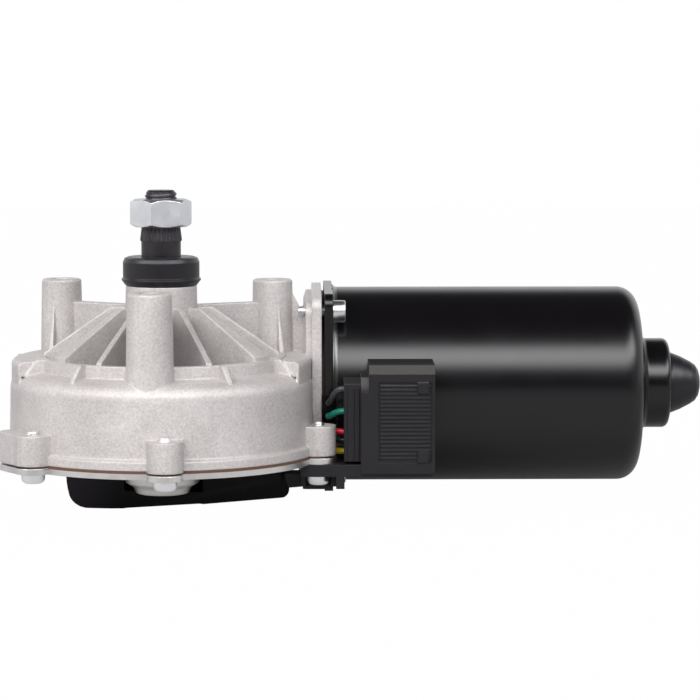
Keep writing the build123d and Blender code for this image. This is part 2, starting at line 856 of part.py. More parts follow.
with BuildPart() as yoke:
    with BuildSketch(motor_section(yoke_face_x)):
        RectangleRounded(2 * yoke_flange_half, 2 * yoke_flange_half, flange_corner)
    extrude(amount=yoke_flange_thickness)
    with BuildSketch(motor_profile_plane):
        with BuildLine():
            Polyline(
                (yoke_face_x, 0),
                (yoke_face_x, yoke_r),
                (yoke_shoulder_x, yoke_r),
            )
            ThreePointArc(
                (yoke_shoulder_x, yoke_r),
                (yoke_shoulder_x + 0.72 * yoke_round_x, yoke_r - 0.32 * yoke_round_r),
                (yoke_shoulder_x + yoke_round_x, yoke_r - yoke_round_r),
            )
            Polyline(
                (yoke_shoulder_x + yoke_round_x, yoke_r - yoke_round_r),
                (yoke_end_x, end_boss_r + boss_bevel),
                (yoke_end_x + boss_bevel, end_boss_r),
                (end_boss_x - boss_round, end_boss_r),
            )
            ThreePointArc(
                (end_boss_x - boss_round, end_boss_r),
                (end_boss_x - 0.3 * boss_round, end_boss_r - 0.3 * boss_round),
                (end_boss_x, end_boss_r - boss_round),
            )
            Polyline((end_boss_x, end_boss_r - boss_round), (end_boss_x, 0), (yoke_face_x, 0))
        make_face()
    revolve(axis=motor_axis)
    with BuildSketch(motor_profile_plane):
        with BuildLine():
            Polyline(
                (yoke_face_x, 0),
                (yoke_face_x, yoke_inner_r),
                (yoke_shoulder_x, yoke_inner_r),
                (yoke_shoulder_x + 0.5 * yoke_round_x, yoke_inner_r - 0.25 * yoke_round_r),
                (yoke_shoulder_x + yoke_round_x - yoke_wall, yoke_r - yoke_round_r),
                (yoke_end_x - yoke_wall, end_boss_r - yoke_wall),
                (end_boss_x - yoke_wall, end_boss_r - yoke_wall),
                (end_boss_x - yoke_wall, end_boss_bore_r),
                (end_boss_x, end_boss_bore_r),
                (end_boss_x, 0),
                close=True,
            )
        make_face()
    revolve(axis=motor_axis, mode=Mode.SUBTRACT)
    with BuildSketch(motor_section(yoke_face_x)):
        with GridLocations(2 * flange_bolt, 2 * flange_bolt, 2, 2):
            Circle(yoke_screw_r + bolt_gap)
    extrude(amount=yoke_flange_thickness, mode=Mode.SUBTRACT)
finish_part(yoke, "yoke")

with BuildPart() as yoke_screws:
    with BuildSketch(motor_section(yoke_flange_x)):
        with GridLocations(2 * flange_bolt, 2 * flange_bolt, 2, 2):
            Circle(yoke_screw_head_r)
    extrude(amount=yoke_screw_head)
    chamfer(yoke_screws.edges().filter_by(GeomType.CIRCLE).group_by(Axis.X)[-1], screw_point)
    for side, depth in yoke_screw_rows:
        with BuildSketch(motor_section(yoke_flange_x)):
            with Locations((side * flange_bolt, 0)):
                with GridLocations(0, 2 * flange_bolt, 1, 2):
                    Circle(yoke_screw_r)
        extrude(amount=flange_face_x - depth - yoke_flange_x)
finish_part(yoke_screws, "yoke_screws")

with BuildPart() as end_plug:
    with BuildSketch(motor_profile_plane):
        with BuildLine():
            Polyline(
                (end_boss_x - yoke_wall, 0),
                (end_boss_x - yoke_wall, end_boss_bore_r - press_gap),
                (end_boss_x + 0.8, end_boss_bore_r - press_gap),
                (end_boss_x + 4.1, 0.87 * end_boss_bore_r),
                (end_boss_x + 7.4, 0.7 * end_boss_bore_r),
                (end_boss_x + 9.0, 0.59 * end_boss_bore_r),
                (end_boss_x + 10.0, 0.44 * end_boss_bore_r),
                (end_boss_x + end_plug_length, 0.24 * end_boss_bore_r),
                (end_boss_x + end_plug_length, 0),
                close=True,
            )
        make_face()
    revolve(axis=motor_axis)
finish_part(end_plug, "end_plug")

with BuildPart() as field_magnets:
    for middle in (0, 180):
        with BuildSketch(motor_section(magnet_start_x)):
            with BuildLine():
                CenterArc((0, 0), yoke_inner_r - press_gap, middle - magnet_arc / 2, magnet_arc)
                CenterArc((0, 0), magnet_inner_r, middle - magnet_arc / 2, magnet_arc)
                for side in (-1, 1):
                    turn = radians(middle + side * magnet_arc / 2)
                    Line(
                        (magnet_inner_r * cos(turn), magnet_inner_r * sin(turn)),
                        (
                            (yoke_inner_r - press_gap) * cos(turn),
                            (yoke_inner_r - press_gap) * sin(turn),
                        ),
                    )
            make_face()
        extrude(amount=magnet_end_x - magnet_start_x)
finish_part(field_magnets, "field_magnets")

with BuildPart() as magnet_clips:
    for middle in (90, 270):
        half_gap = (180 - magnet_arc) / 2 - clip_side_gap
        with BuildSketch(motor_section(magnet_start_x + clip_inset)):
            with BuildLine():
                CenterArc((0, 0), yoke_inner_r - press_gap, middle - half_gap, 2 * half_gap)
                CenterArc((0, 0), yoke_inner_r - clip_spring, middle - half_gap, 2 * half_gap)
                for side in (-1, 1):
                    turn = radians(middle + side * half_gap)
                    Line(
                        ((yoke_inner_r - clip_spring) * cos(turn), (yoke_inner_r - clip_spring) * sin(turn)),
                        (
                            (yoke_inner_r - press_gap) * cos(turn),
                            (yoke_inner_r - press_gap) * sin(turn),
                        ),
                    )
            make_face()
        extrude(amount=magnet_length - 2 * clip_inset)
finish_part(magnet_clips, "magnet_clips")

# ============================ bearings ============================

rear_bearing_x = yoke_end_x - yoke_wall + rear_bearing_set

with BuildPart() as rear_bearing:
    with BuildSketch(motor_section(rear_bearing_x)):
        Circle(end_boss_r - yoke_wall - press_gap)
        Circle(armature_r + run_gap, mode=Mode.SUBTRACT)
    extrude(amount=rear_bearing_width)
finish_part(rear_bearing, "rear_bearing")

with BuildPart() as front_bearing:
    with BuildSketch(motor_section(bearing_seat_x)):
        Circle(ball_bearing_r)
        Circle(armature_r + run_gap, mode=Mode.SUBTRACT)
    extrude(amount=ball_bearing_width)
    groove_r = (ball_bearing_r + armature_r) / 2
    with BuildSketch(motor_section(bearing_seat_x + ball_bearing_width)):
        Circle(groove_r + bearing_groove)
        Circle(groove_r - bearing_groove, mode=Mode.SUBTRACT)
    extrude(amount=-bearing_groove_depth, mode=Mode.SUBTRACT)
finish_part(front_bearing, "front_bearing")

with BuildPart() as bearing_clip:
    with BuildSketch(motor_section(bearing_seat_x + ball_bearing_width)):
        Circle(ball_bearing_r - press_gap)
        Circle(ball_bearing_r - bearing_clip_width, mode=Mode.SUBTRACT)
        with Locations((0, ball_bearing_r)):
            Rectangle(bearing_clip_gap, 3 * bearing_clip_width, mode=Mode.SUBTRACT)
    extrude(amount=bearing_clip_thickness)
finish_part(bearing_clip, "bearing_clip")

with BuildPart() as worm_end_bush:
    with BuildSketch(motor_section(tunnel_floor_x + thrust_pad_thickness)):
        Circle(tunnel_bore_r - press_gap)
        Circle(armature_r + run_gap, mode=Mode.SUBTRACT)
    extrude(amount=end_bush_length)
finish_part(worm_end_bush, "worm_end_bush")

with BuildPart() as thrust_pad:
    with BuildSketch(motor_section(tunnel_floor_x)):
        Circle(tunnel_bore_r - press_gap)
    extrude(amount=thrust_pad_thickness)
finish_part(thrust_pad, "thrust_pad")

# ============================ armature ============================

shaft_start_x = tunnel_floor_x + thrust_pad_thickness + end_float
shaft_end_x = rear_bearing_x + rear_bearing_width + 1.0
worm_pitch = pi * module_axial
worm_root_r = worm_pitch_r - 1.25 * module_axial
worm_length = worm_turns * worm_pitch
worm_flank = tan(radians(pressure_angle))

with BuildPart() as armature_shaft:
    with BuildSketch(motor_profile_plane):
        with BuildLine():
            Polyline(
                (shaft_start_x, 0),
                (shaft_start_x + shaft_tip / 2, armature_r - shaft_tip),
                (shaft_start_x + 1.5 * shaft_tip, armature_r),
                (-worm_length / 2 - worm_relief, armature_r),
                (-worm_length / 2 - worm_relief, worm_root_r),
                (worm_length / 2 + worm_relief, worm_root_r),
                (worm_length / 2 + worm_relief, armature_r),
                (shaft_end_x - shaft_tip, armature_r),
                (shaft_end_x, armature_r - shaft_tip),
                (shaft_end_x, 0),
                close=True,
            )
        make_face()
    revolve(axis=motor_axis)
    # single-start right-hand thread; a crest faces the wheel's axis at x = 0
    with BuildLine() as worm_path:
        Helix(
            pitch=worm_pitch,
            height=worm_length,
            radius=worm_pitch_r,
            center=(worm_pitch / 4 - worm_length / 2, motor_y, motor_z),
            direction=(1, 0, 0),
        )
    helix_start = worm_path.line @ 0
    start_radial = Vector(0, helix_start.Y - motor_y, helix_start.Z - motor_z).normalized()
    thread_plane = Plane(origin=helix_start, x_dir=start_radial, z_dir=start_radial.cross(Vector(1, 0, 0)))
    half_pitch_width = worm_pitch / 4 - flank_gap / 2
    root_sink = worm_pitch_r - worm_root_r + 0.3
    with BuildSketch(thread_plane):
        with BuildLine():
            Polyline(
                (-root_sink, half_pitch_width + root_sink * worm_flank),
                (module_axial, half_pitch_width - module_axial * worm_flank),
                (module_axial, -half_pitch_width + module_axial * worm_flank),
                (-root_sink, -half_pitch_width - root_sink * worm_flank),
                close=True,
            )
        make_face()
    sweep(path=worm_path.line, is_frenet=True)
finish_part(armature_shaft, "armature_shaft")

with BuildPart() as armature_core:
    with BuildSketch(motor_section(core_start_x)):
        Circle(core_r)
        with PolarLocations(core_r - slot_depth / 2, core_slots):
            Rectangle(slot_depth + 1, slot_width, mode=Mode.SUBTRACT)
        with PolarLocations(core_r - slot_depth + 1, core_slots):
            Circle(slot_foot_r, mode=Mode.SUBTRACT)
        Circle(armature_r + press_gap, mode=Mode.SUBTRACT)
    extrude(amount=core_end_x - core_start_x)
finish_part(armature_core, "armature_core")

with BuildPart() as armature_windings:
    for start, length in ((core_start_x, -winding_overhang), (core_end_x, winding_overhang)):
        with BuildSketch(motor_section(start)):
            Circle(winding_r)
            Circle(armature_r + winding_gap, mode=Mode.SUBTRACT)
        extrude(amount=length)
    for end in (0, -1):
        rims = armature_windings.edges().filter_by(GeomType.CIRCLE).group_by(SortBy.RADIUS)[-1]
        fillet(rims.sort_by(Axis.X)[end], winding_round)
finish_part(armature_windings, "armature_windings")

with BuildPart() as commutator:
    with BuildSketch(motor_section(commutator_x)):
        Circle(commutator_r)
        Circle(armature_r + press_gap, mode=Mode.SUBTRACT)
        with PolarLocations(commutator_r, commutator_bars):
            Rectangle(riser, bar_slot_width, mode=Mode.SUBTRACT)
    extrude(amount=commutator_length - riser)
    with BuildSketch(motor_section(commutator_x + commutator_length - riser)):
        Circle(commutator_r + riser)
        Circle(armature_r + press_gap, mode=Mode.SUBTRACT)
    extrude(amount=riser)
finish_part(commutator, "commutator")

# ============================ brush gear ============================

box_x = yoke_face_x + brush_plate_thickness

with BuildPart() as brush_plate:
    # the part clamped between the two flanges
    with BuildSketch(motor_section(flange_face_x)):
        Circle(brush_rim_r)
        Circle(brush_plate_bore_r, mode=Mode.SUBTRACT)
    extrude(amount=yoke_face_x - flange_face_x)
    # the disc inside the can
    with BuildSketch(motor_section(yoke_face_x)):
        Circle(brush_plate_r)
        Circle(brush_plate_bore_r, mode=Mode.SUBTRACT)
    extrude(amount=brush_plate_thickness)
finish_part(brush_plate, "brush_plate")

with BuildPart() as brush_boxes:
    for angle in brush_angles:
        box_plane = brush_section(box_x, angle)
        with BuildSketch(box_plane):
            with Locations((box_start_r + box_length / 2, 0)):
                Rectangle(box_length, brush_width + 2 * (box_wall + seal_gap))
        extrude(amount=brush_axial + 2 * seal_gap + box_wall)
        with BuildSketch(box_plane):
            with Locations((box_start_r + box_length / 2, 0)):
                Rectangle(box_length + 1, brush_width + 2 * seal_gap)
        extrude(amount=brush_axial + 2 * seal_gap, mode=Mode.SUBTRACT)
finish_part(brush_boxes, "brush_boxes")

for number, angle in enumerate(brush_angles, start=1):
    with BuildPart() as brush:
        with BuildSketch(brush_section(box_x + seal_gap, angle)):
            with Locations((commutator_r + free_gap + brush_length / 2, 0)):
                Rectangle(brush_length, brush_width)
            Circle(commutator_r + free_gap, mode=Mode.SUBTRACT)
        extrude(amount=brush_axial)
    finish_part(brush, f"brush_{number}")

# ============================ output side ============================

with BuildPart() as output_shaft:
    with BuildSketch(Plane.XZ):
        with BuildLine():
            Polyline(
                (0, shaft_foot_z),
                (shaft_r - shaft_bevel, shaft_foot_z),
                (shaft_r, shaft_foot_z + shaft_bevel),
                (shaft_r, clip_z - clip_thickness),
                (clip_groove_r, clip_z - clip_thickness),
                (clip_groove_r, clip_z),
                (shaft_r, clip_z),
                (shaft_r, cone_bottom_z),
                (cone_wide_r - serration_depth, cone_wide_z),
                (cone_top_r - serration_depth, cone_top_z),
                (thread_r, cone_top_z),
                (thread_r, cone_top_z + nut_height),
                (thread_r - thread_groove, cone_top_z + nut_height),
                (thread_r - thread_groove, shaft_top_z - thread_point),
                (thread_core_r, shaft_top_z),
                (0, shaft_top_z),
                close=True,
            )
        make_face()
    revolve(axis=Axis.Z)
    # serrated cone that grips the crank
    for z, radius in ((cone_wide_z, cone_wide_r), (cone_top_z, cone_top_r)):
        with BuildSketch(Plane.XY.offset(z)):
            with BuildLine():
                step = 180 / serration_count
                tips = [polar(radius, 2 * step * i)[:2] for i in range(serration_count)]
                roots = [
                    polar(radius - serration_depth, 2 * step * i + step)[:2]
                    for i in range(serration_count)
                ]
                Polyline([p for pair in zip(tips, roots) for p in pair], close=True)
            make_face()
    loft(ruled=True)
finish_part(output_shaft, "output_shaft")

base_r = wheel_pitch_r * cos(radians(pressure_angle))
wheel_root_r = wheel_pitch_r - 1.25 * module_axial
wheel_tip_r = wheel_pitch_r + module_axial
helix_rate = degrees(module_axial / 2 / worm_pitch_r / wheel_pitch_r)


def tooth_half_angle(radius):
    """Half the angle that an involute wheel tooth covers at a radius, in degrees."""
    pressure = acos(base_r / radius)
    at_pitch = radians(pressure_angle)
    spread = (tan(at_pitch) - at_pitch) - (tan(pressure) - pressure)
    return degrees(pi / 2 / wheel_teeth - flank_gap / 2 / wheel_pitch_r + spread)


with BuildPart() as wheel_tooth:
    for z in (wheel_bottom_z, wheel_top_z):
        turn = helix_rate * (z - motor_z)
        radii = (wheel_root_r, wheel_pitch_r, wheel_tip_r)
        right = [polar(r, turn - tooth_half_angle(r))[:2] for r in radii]
        left = [polar(r, turn + tooth_half_angle(r))[:2] for r in reversed(radii)]
        foot = [
            polar(wheel_root_r - 0.5, turn + side * tooth_half_angle(wheel_root_r))[:2]
            for side in (1, -1)
        ]
        with BuildSketch(Plane.XY.offset(z)):
            with BuildLine():
                Polyline(right + left + foot, close=True)
            make_face()
    loft(ruled=True)

with BuildPart() as worm_wheel:
    with BuildSketch(Plane.XY.offset(wheel_bottom_z)):
        Circle(wheel_root_r)
        Circle(wheel_rim_r, mode=Mode.SUBTRACT)
    extrude(amount=wheel_face)
    with BuildSketch(Plane.XY.offset(motor_z - wheel_web / 2)):
        Circle(wheel_rim_r + 1)
    extrude(amount=wheel_web)
    with BuildSketch(Plane.XY.offset(wheel_bottom_z - wheel_hub_drop)):
        Circle(wheel_hub_r)
    extrude(amount=wheel_face + wheel_hub_drop)
    with BuildSketch(Plane.XY.offset(motor_z - wheel_web / 2)):
        with PolarLocations((wheel_rim_r + wheel_hub_r) / 2, pocket_count):
            Circle(pocket_r)
    extrude(amount=wheel_web, mode=Mode.SUBTRACT)
    with PolarLocations(0, wheel_teeth):
        add(wheel_tooth.part)
    with BuildSketch(Plane.XY.offset(wheel_top_z)):
        Circle(shaft_r + press_gap)
    extrude(amount=-wheel_face - wheel_hub_drop, mode=Mode.SUBTRACT)
finish_part(worm_wheel, "worm_wheel")

disc_gap = [
    polar(1.5 * disc_outer_r, 270 + side * disc_gap_angle / 2)[:2] for side in (-1, 1)
]

with BuildPart() as parking_disc:
    with BuildSketch(Plane.XY.offset(wheel_bottom_z)):
        Circle(disc_outer_r)
        Circle(disc_inner_r, mode=Mode.SUBTRACT)
        with BuildLine():
            Polyline((0, 0), *disc_gap, close=True)
        make_face(mode=Mode.SUBTRACT)
    extrude(amount=-disc_thickness)
finish_part(parking_disc, "parking_disc")

with BuildPart() as shaft_circlip:
    with BuildSketch(Plane.XY.offset(clip_z)):
        Circle(clip_outer_r)
        Circle(clip_groove_r + press_gap, mode=Mode.SUBTRACT)
        with Locations((0, clip_outer_r)):
            Rectangle(clip_gap, 2 * clip_outer_r, mode=Mode.SUBTRACT)
    extrude(amount=-clip_thickness)
finish_part(shaft_circlip, "shaft_circlip")

with BuildPart() as thrust_washer:
    with BuildSketch(Plane.XY.offset(wheel_top_z)):
        Circle(wheel_hub_r)
        Circle(shaft_r + run_gap, mode=Mode.SUBTRACT)
    extrude(amount=roof_z - wheel_top_z - end_float)
finish_part(thrust_washer, "thrust_washer")

with BuildPart() as crank_nut:
    with BuildSketch(Plane.XY.offset(cone_top_z)):
        RegularPolygon(nut_flats / 2, 6, major_radius=False, rotation=nut_turn)
        Circle(thread_r + press_gap, mode=Mode.SUBTRACT)
    extrude(amount=nut_height)
    # 30 degree chamfers on both ends
    corner_r = nut_flats / sqrt(3)
    nut_face_r = corner_r - nut_chamfer / tan(radians(30))
    with BuildSketch(Plane.XZ):
        with BuildLine():
            Polyline(
                (0, cone_top_z),
                (nut_face_r, cone_top_z),
                (corner_r, cone_top_z + nut_chamfer),
                (corner_r, cone_top_z + nut_height - nut_chamfer),
                (nut_face_r, cone_top_z + nut_height),
                (0, cone_top_z + nut_height),
                close=True,
            )
        make_face()
    revolve(axis=Axis.Z, mode=Mode.INTERSECT)
finish_part(crank_nut, "crank_nut")

# ============================ connector ============================

with BuildPart() as connector_housing:
    # block with a bevelled front top edge
    with BuildSketch(Plane(origin=(block_step_x, 0, 0), x_dir=(0, 1, 0), z_dir=(1, 0, 0))):
        with BuildLine():
            Polyline(
                (block_back_y, block_bottom_z),
                (block_front_y, block_bottom_z),
                (block_front_y, block_top_z - block_bevel),
                (block_front_y + block_bevel, block_top_z),
                (block_back_y, block_top_z),
                close=True,
            )
        make_face()
    extrude(amount=block_right_x - block_step_x)
    with BuildSketch(Plane(origin=(block_left_x, 0, 0), x_dir=(0, 1, 0), z_dir=(1, 0, 0))):
        with BuildLine():
            Polyline(
                (block_back_y, block_bottom_z),
                (block_front_y, block_bottom_z),
                (block_front_y, block_step_z - block_step_bevel),
                (block_front_y + block_step_bevel / 1.5, block_step_z),
                (block_back_y, block_step_z),
                close=True,
            )
        make_face()
    extrude(amount=block_step_x - block_left_x)
    # plug cavity, open towards +X
    cavity_mid_y = (block_front_y + block_back_y) / 2
    cavity_mid_z = (block_top_z + block_bottom_z) / 2
    cavity_depth_y = block_back_y - block_front_y - 2 * block_wall
    cavity_height = block_top_z - block_bottom_z - 2 * block_wall - block_bevel
    with BuildSketch(
        Plane(
            origin=(cavity_floor_x, cavity_mid_y, cavity_mid_z - block_bevel / 2),
            x_dir=(0, 1, 0),
            z_dir=(1, 0, 0),
        )
    ):
        RectangleRounded(cavity_depth_y, cavity_height, cavity_round)
    extrude(amount=block_right_x - cavity_floor_x, mode=Mode.SUBTRACT)
    # shallow grip field with ridges and two locking bumps on the front
    recess_mid_x = (recess_left_x + recess_right_x) / 2
    recess_mid_z = (recess_top_z + recess_bottom_z) / 2
    front_plane = Plane(origin=(0, block_front_y, 0), x_dir=(1, 0, 0), z_dir=(0, -1, 0))
    with BuildSketch(front_plane):
        with Locations((recess_mid_x, recess_mid_z)):
            Rectangle(recess_right_x - recess_left_x, recess_top_z - recess_bottom_z)
    extrude(amount=-recess_depth, mode=Mode.SUBTRACT)
    ridge_pitch = (recess_top_z - recess_bottom_z) / (recess_ridges + 1)
    with BuildSketch(front_plane.offset(-recess_depth)):
        with Locations((recess_mid_x, recess_mid_z)):
            with GridLocations(1, ridge_pitch, 1, recess_ridges):
                Rectangle(recess_right_x - recess_left_x - 2 * ridge_inset, ridge_width)
    extrude(amount=ridge_height)
    with BuildSketch(front_plane.offset(-recess_depth)):
        for z in (recess_top_z - catch_size / 2, recess_bottom_z + catch_size / 2):
            with Locations((recess_right_x - catch_inset, z)):
                Rectangle(catch_size, catch_size)
    extrude(amount=recess_depth + catch_height)
    # wire seal body on the left, with one hole for each lead
    with BuildSketch(Plane(origin=(entry_left_x, 0, 0), x_dir=(0, 1, 0), z_dir=(1, 0, 0))):
        with Locations(((block_front_y + 2 + block_back_y) / 2, (entry_top_z + entry_bottom_z) / 2)):
            Rectangle(block_back_y - block_front_y - 2, entry_top_z - entry_bottom_z)
    extrude(amount=block_left_x - entry_left_x)
    with BuildSketch(Plane(origin=(entry_left_x, 0, 0), x_dir=(0, 1, 0), z_dir=(1, 0, 0))):
        for z in lead_zs:
            with Locations((lead_y, z)):
                Circle(lead_r + seal_gap)
    extrude(amount=block_left_x - entry_left_x, mode=Mode.SUBTRACT)
    # slots that the terminal blades are pressed through
    with BuildSketch(Plane(origin=(block_left_x, 0, 0), x_dir=(0, 1, 0), z_dir=(1, 0, 0))):
        for z in lead_zs:
            with Locations((lead_y, z)):
                Rectangle(blade_thickness + 2 * press_gap, blade_width + 2 * press_gap)
    extrude(amount=cavity_floor_x - block_left_x, mode=Mode.SUBTRACT)
    # strip along the bottom, and the bracket under the right cover lug
    lug_x, lug_y, _ = polar(lug_bolt_r, lug_angles[2])
    strip_z = plate_z - bracket_thickness
    with BuildSketch(Plane.XY.offset(strip_z)):
        with BuildLine():
            Polyline(
                (lug_x - lug_r, lug_y - lug_r),
                (block_left_x + 1, block_front_y + 1),
                (block_right_x - 1, block_front_y + 1),
                (block_right_x - 1, block_back_y),
                (lug_x + lug_r + 1, block_back_y),
                (lug_x + lug_r, lug_y + lug_r),
                (lug_x - lug_r, lug_y + lug_r),
                close=True,
            )
        make_face()
        with Locations((lug_x, lug_y)):
            Circle(cover_screw_r + bolt_gap, mode=Mode.SUBTRACT)
    extrude(amount=bracket_thickness)
    # collar behind the bracket's screw and a foot beside it
    collar_r = cover_screw_head_r + free_gap
    with BuildSketch(Plane.XY.offset(strip_z)):
        with Locations((lug_x, lug_y)):
            Rectangle(2 * lug_r, lug_r, align=(Align.CENTER, Align.MIN))
            Circle(collar_r, mode=Mode.SUBTRACT)
    extrude(amount=-foot_height)
    with BuildSketch(Plane.XY.offset(strip_z)):
        with Locations((lug_x + lug_r, lug_y - lug_r)):
            Rectangle(bracket_foot, 1.5 * lug_r, align=(Align.MIN, Align.MIN))
    extrude(amount=-foot_height)
finish_part(connector_housing, "connector_housing")

with BuildPart() as terminals:
    with BuildSketch(Plane(origin=(block_left_x, 0, 0), x_dir=(0, 1, 0), z_dir=(1, 0, 0))):
        for z in lead_zs:
            with Locations((lead_y, z)):
                Rectangle(blade_thickness, blade_width)
    extrude(amount=blade_tip_x - block_left_x)
finish_part(terminals, "terminals")

with BuildPart() as lead_grommet:
    grommet_height = lead_exit_zs[0] - lead_exit_zs[-1] + 2 * (lead_r + grommet_edge)
    grommet_mid_z = (lead_exit_zs[0] + lead_exit_zs[-1]) / 2
    grommet_back_y = motor_y - yoke_flange_half
    with BuildSketch(
        Plane(origin=(lead_exit_x, lead_exit_y, grommet_mid_z), x_dir=(1, 0, 0), z_dir=(0, 1, 0))
    ):
        Rectangle(grommet_width, grommet_height)
    extrude(amount=grommet_back_y - lead_exit_y)
finish_part(lead_grommet, "lead_grommet")


def arc_radii(points):
    """One radius for each corner of a route: a share of its shorter run over the tangent of half its turn."""
    radii = []
    for before, here, after in zip(points, points[1:], points[2:]):
        run_in = Vector(*here) - Vector(*before)
        run_out = Vector(*after) - Vector(*here)
        turn = radians(run_in.get_angle(run_out))
        radii.append(bend_share * min(run_in.length, run_out.length) / tan(turn / 2))
    return radii


for name, z, exit_z in zip(lead_names, lead_zs, lead_exit_zs):
    route = [
        (lead_exit_x, lead_exit_y, exit_z),
        (lead_exit_x, lead_bend_y, exit_z),
        (lead_bend_x, lead_y, z),
        (entry_left_x + lead_seat, lead_y, z),
    ]
    radii = arc_radii(route)
    print(name, "radii", [round(r, 2) for r in radii])
    with BuildPart() as lead:
        with BuildLine() as lead_path:
            FilletPolyline(*route, radius=radii)
        with BuildSketch(Plane(origin=lead_path.line @ 0, z_dir=lead_path.line % 0)):
            Circle(lead_r)
        sweep(path=lead_path.line)
    finish_part(lead, name)
    print(name, "volume share", round(lead.part.volume / (pi * lead_r**2 * lead_path.wire().length), 3))
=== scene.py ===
from math import cos, pi, radians, sin, tan

import bmesh
import bpy
from mathutils import Matrix, Vector


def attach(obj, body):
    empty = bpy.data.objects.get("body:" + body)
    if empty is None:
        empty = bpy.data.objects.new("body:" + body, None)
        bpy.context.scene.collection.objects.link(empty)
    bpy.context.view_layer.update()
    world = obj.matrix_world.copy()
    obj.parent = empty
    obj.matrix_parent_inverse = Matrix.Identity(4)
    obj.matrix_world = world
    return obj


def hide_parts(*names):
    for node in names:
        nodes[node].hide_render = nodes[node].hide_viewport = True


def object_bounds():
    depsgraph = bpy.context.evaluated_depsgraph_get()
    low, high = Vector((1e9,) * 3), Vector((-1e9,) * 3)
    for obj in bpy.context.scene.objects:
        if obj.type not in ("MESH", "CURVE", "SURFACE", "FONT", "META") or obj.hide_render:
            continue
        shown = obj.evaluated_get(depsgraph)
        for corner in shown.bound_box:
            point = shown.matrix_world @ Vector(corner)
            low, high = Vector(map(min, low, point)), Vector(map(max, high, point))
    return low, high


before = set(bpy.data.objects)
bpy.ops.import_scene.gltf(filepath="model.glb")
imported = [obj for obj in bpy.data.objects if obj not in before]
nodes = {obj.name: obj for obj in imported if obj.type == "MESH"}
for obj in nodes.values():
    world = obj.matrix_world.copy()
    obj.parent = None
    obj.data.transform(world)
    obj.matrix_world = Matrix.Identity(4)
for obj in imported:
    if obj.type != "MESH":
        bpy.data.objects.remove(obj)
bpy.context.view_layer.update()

mm = 0.001
weld = 1e-7  # points nearer than this are one point
cadWeld = 1e-6  # the same for meshes read from the frame
print("frame loaded:", len(nodes), "nodes")


# a socket that can be used in expressions
class Sock:
    def __init__(self, tree, socket):
        self.tree = tree
        self.socket = socket

    def math(self, operation, other):
        return self.tree.node("ShaderNodeMath", {"operation": operation}, {0: self, 1: other})

    def flip(self, operation, other):
        return self.tree.node("ShaderNodeMath", {"operation": operation}, {0: other, 1: self})

    def __add__(self, other):
        return self.math("ADD", other)

    def __radd__(self, other):
        return self.flip("ADD", other)

    def __sub__(self, other):
        return self.math("SUBTRACT", other)

    def __rsub__(self, other):
        return self.flip("SUBTRACT", other)

    def __mul__(self, other):
        return self.math("MULTIPLY", other)

    def __rmul__(self, other):
        return self.flip("MULTIPLY", other)

    def clamp(self):
        return self.tree.node("ShaderNodeClamp", {}, {"Value": self, "Min": 0.0, "Max": 1.0})


noiseRough = 0.55  # how much a noise's finer octaves count
edgeLook = {"samples": 6, "plain": 0.985, "worn": 0.80}  # cosines between the rounded normal and the flat one


class Shader:
    def __init__(self, name, world=None):
        self.owner = world or bpy.data.materials.new(name)
        self.owner.use_nodes = True
        self.nodes = self.owner.node_tree.nodes
        self.links = self.owner.node_tree.links
        self.nodes.clear()

    def node(self, kind, settings, inputs, out=0):
        made = self.nodes.new(kind)
        for key, value in settings.items():
            setattr(made, key, value)
        for key, value in inputs.items():
            if isinstance(value, Sock):
                self.links.new(value.socket, made.inputs[key])
            else:
                made.inputs[key].default_value = value
        return Sock(self, made.outputs[out]) if made.outputs else None

    def place(self):
        return self.node("ShaderNodeTexCoord", {}, {}, "Object")

    def split(self, vector):
        return [self.node("ShaderNodeSeparateXYZ", {}, {0: vector}, axis) for axis in "XYZ"]

    def noise(self, scale, detail):
        inputs = {"Vector": self.place(), "Scale": scale, "Detail": detail, "Roughness": noiseRough}
        return self.node("ShaderNodeTexNoise", {}, inputs)

    def steps(self, factor, low, high):
        return self.node(
            "ShaderNodeMapRange", {"interpolation_type": "SMOOTHSTEP"},
            {"Value": factor, "From Min": low, "From Max": high, "To Min": 0.0, "To Max": 1.0},
        )

    def mix(self, factor, a, b):
        a, b = (c + (1.0,) if isinstance(c, tuple) else c for c in (a, b))
        settings = {"data_type": "RGBA", "blend_type": "MIX"}
        return self.node("ShaderNodeMix", settings, {0: factor, 6: a, 7: b}, 2)

    def edges(self, radius):  # rounded normal and a mask that is 1 on edges
        rounded = self.node("ShaderNodeBevel", {"samples": edgeLook["samples"]}, {"Radius": radius})
        flat = self.node("ShaderNodeNewGeometry", {}, {}, "Normal")
        inputs = {0: rounded, 1: flat}
        facing = self.node("ShaderNodeVectorMath", {"operation": "DOT_PRODUCT"}, inputs, "Value")
        return rounded, self.steps(facing, edgeLook["plain"], edgeLook["worn"])

    def bump(self, height, distance, strength, normal=None):
        inputs = {"Height": height, "Distance": distance, "Strength": strength}
        if normal is not None:
            inputs["Normal"] = normal
        return self.node("ShaderNodeBump", {}, inputs)

    def finish(self, **sockets):
        surface = self.node("ShaderNodeBsdfPrincipled", {}, sockets)
        self.node("ShaderNodeOutputMaterial", {}, {"Surface": surface})
        return self.owner


def scaled(colour, factor, lift=0.0):
    return tuple(min(1.0, c * factor + lift) for c in colour)


def cadFinish(material, *names):  # gives carried-over CAD nodes their material
    for name in names:
        node = nodes[name]
        node.data.materials.clear()
        node.data.materials.append(material)


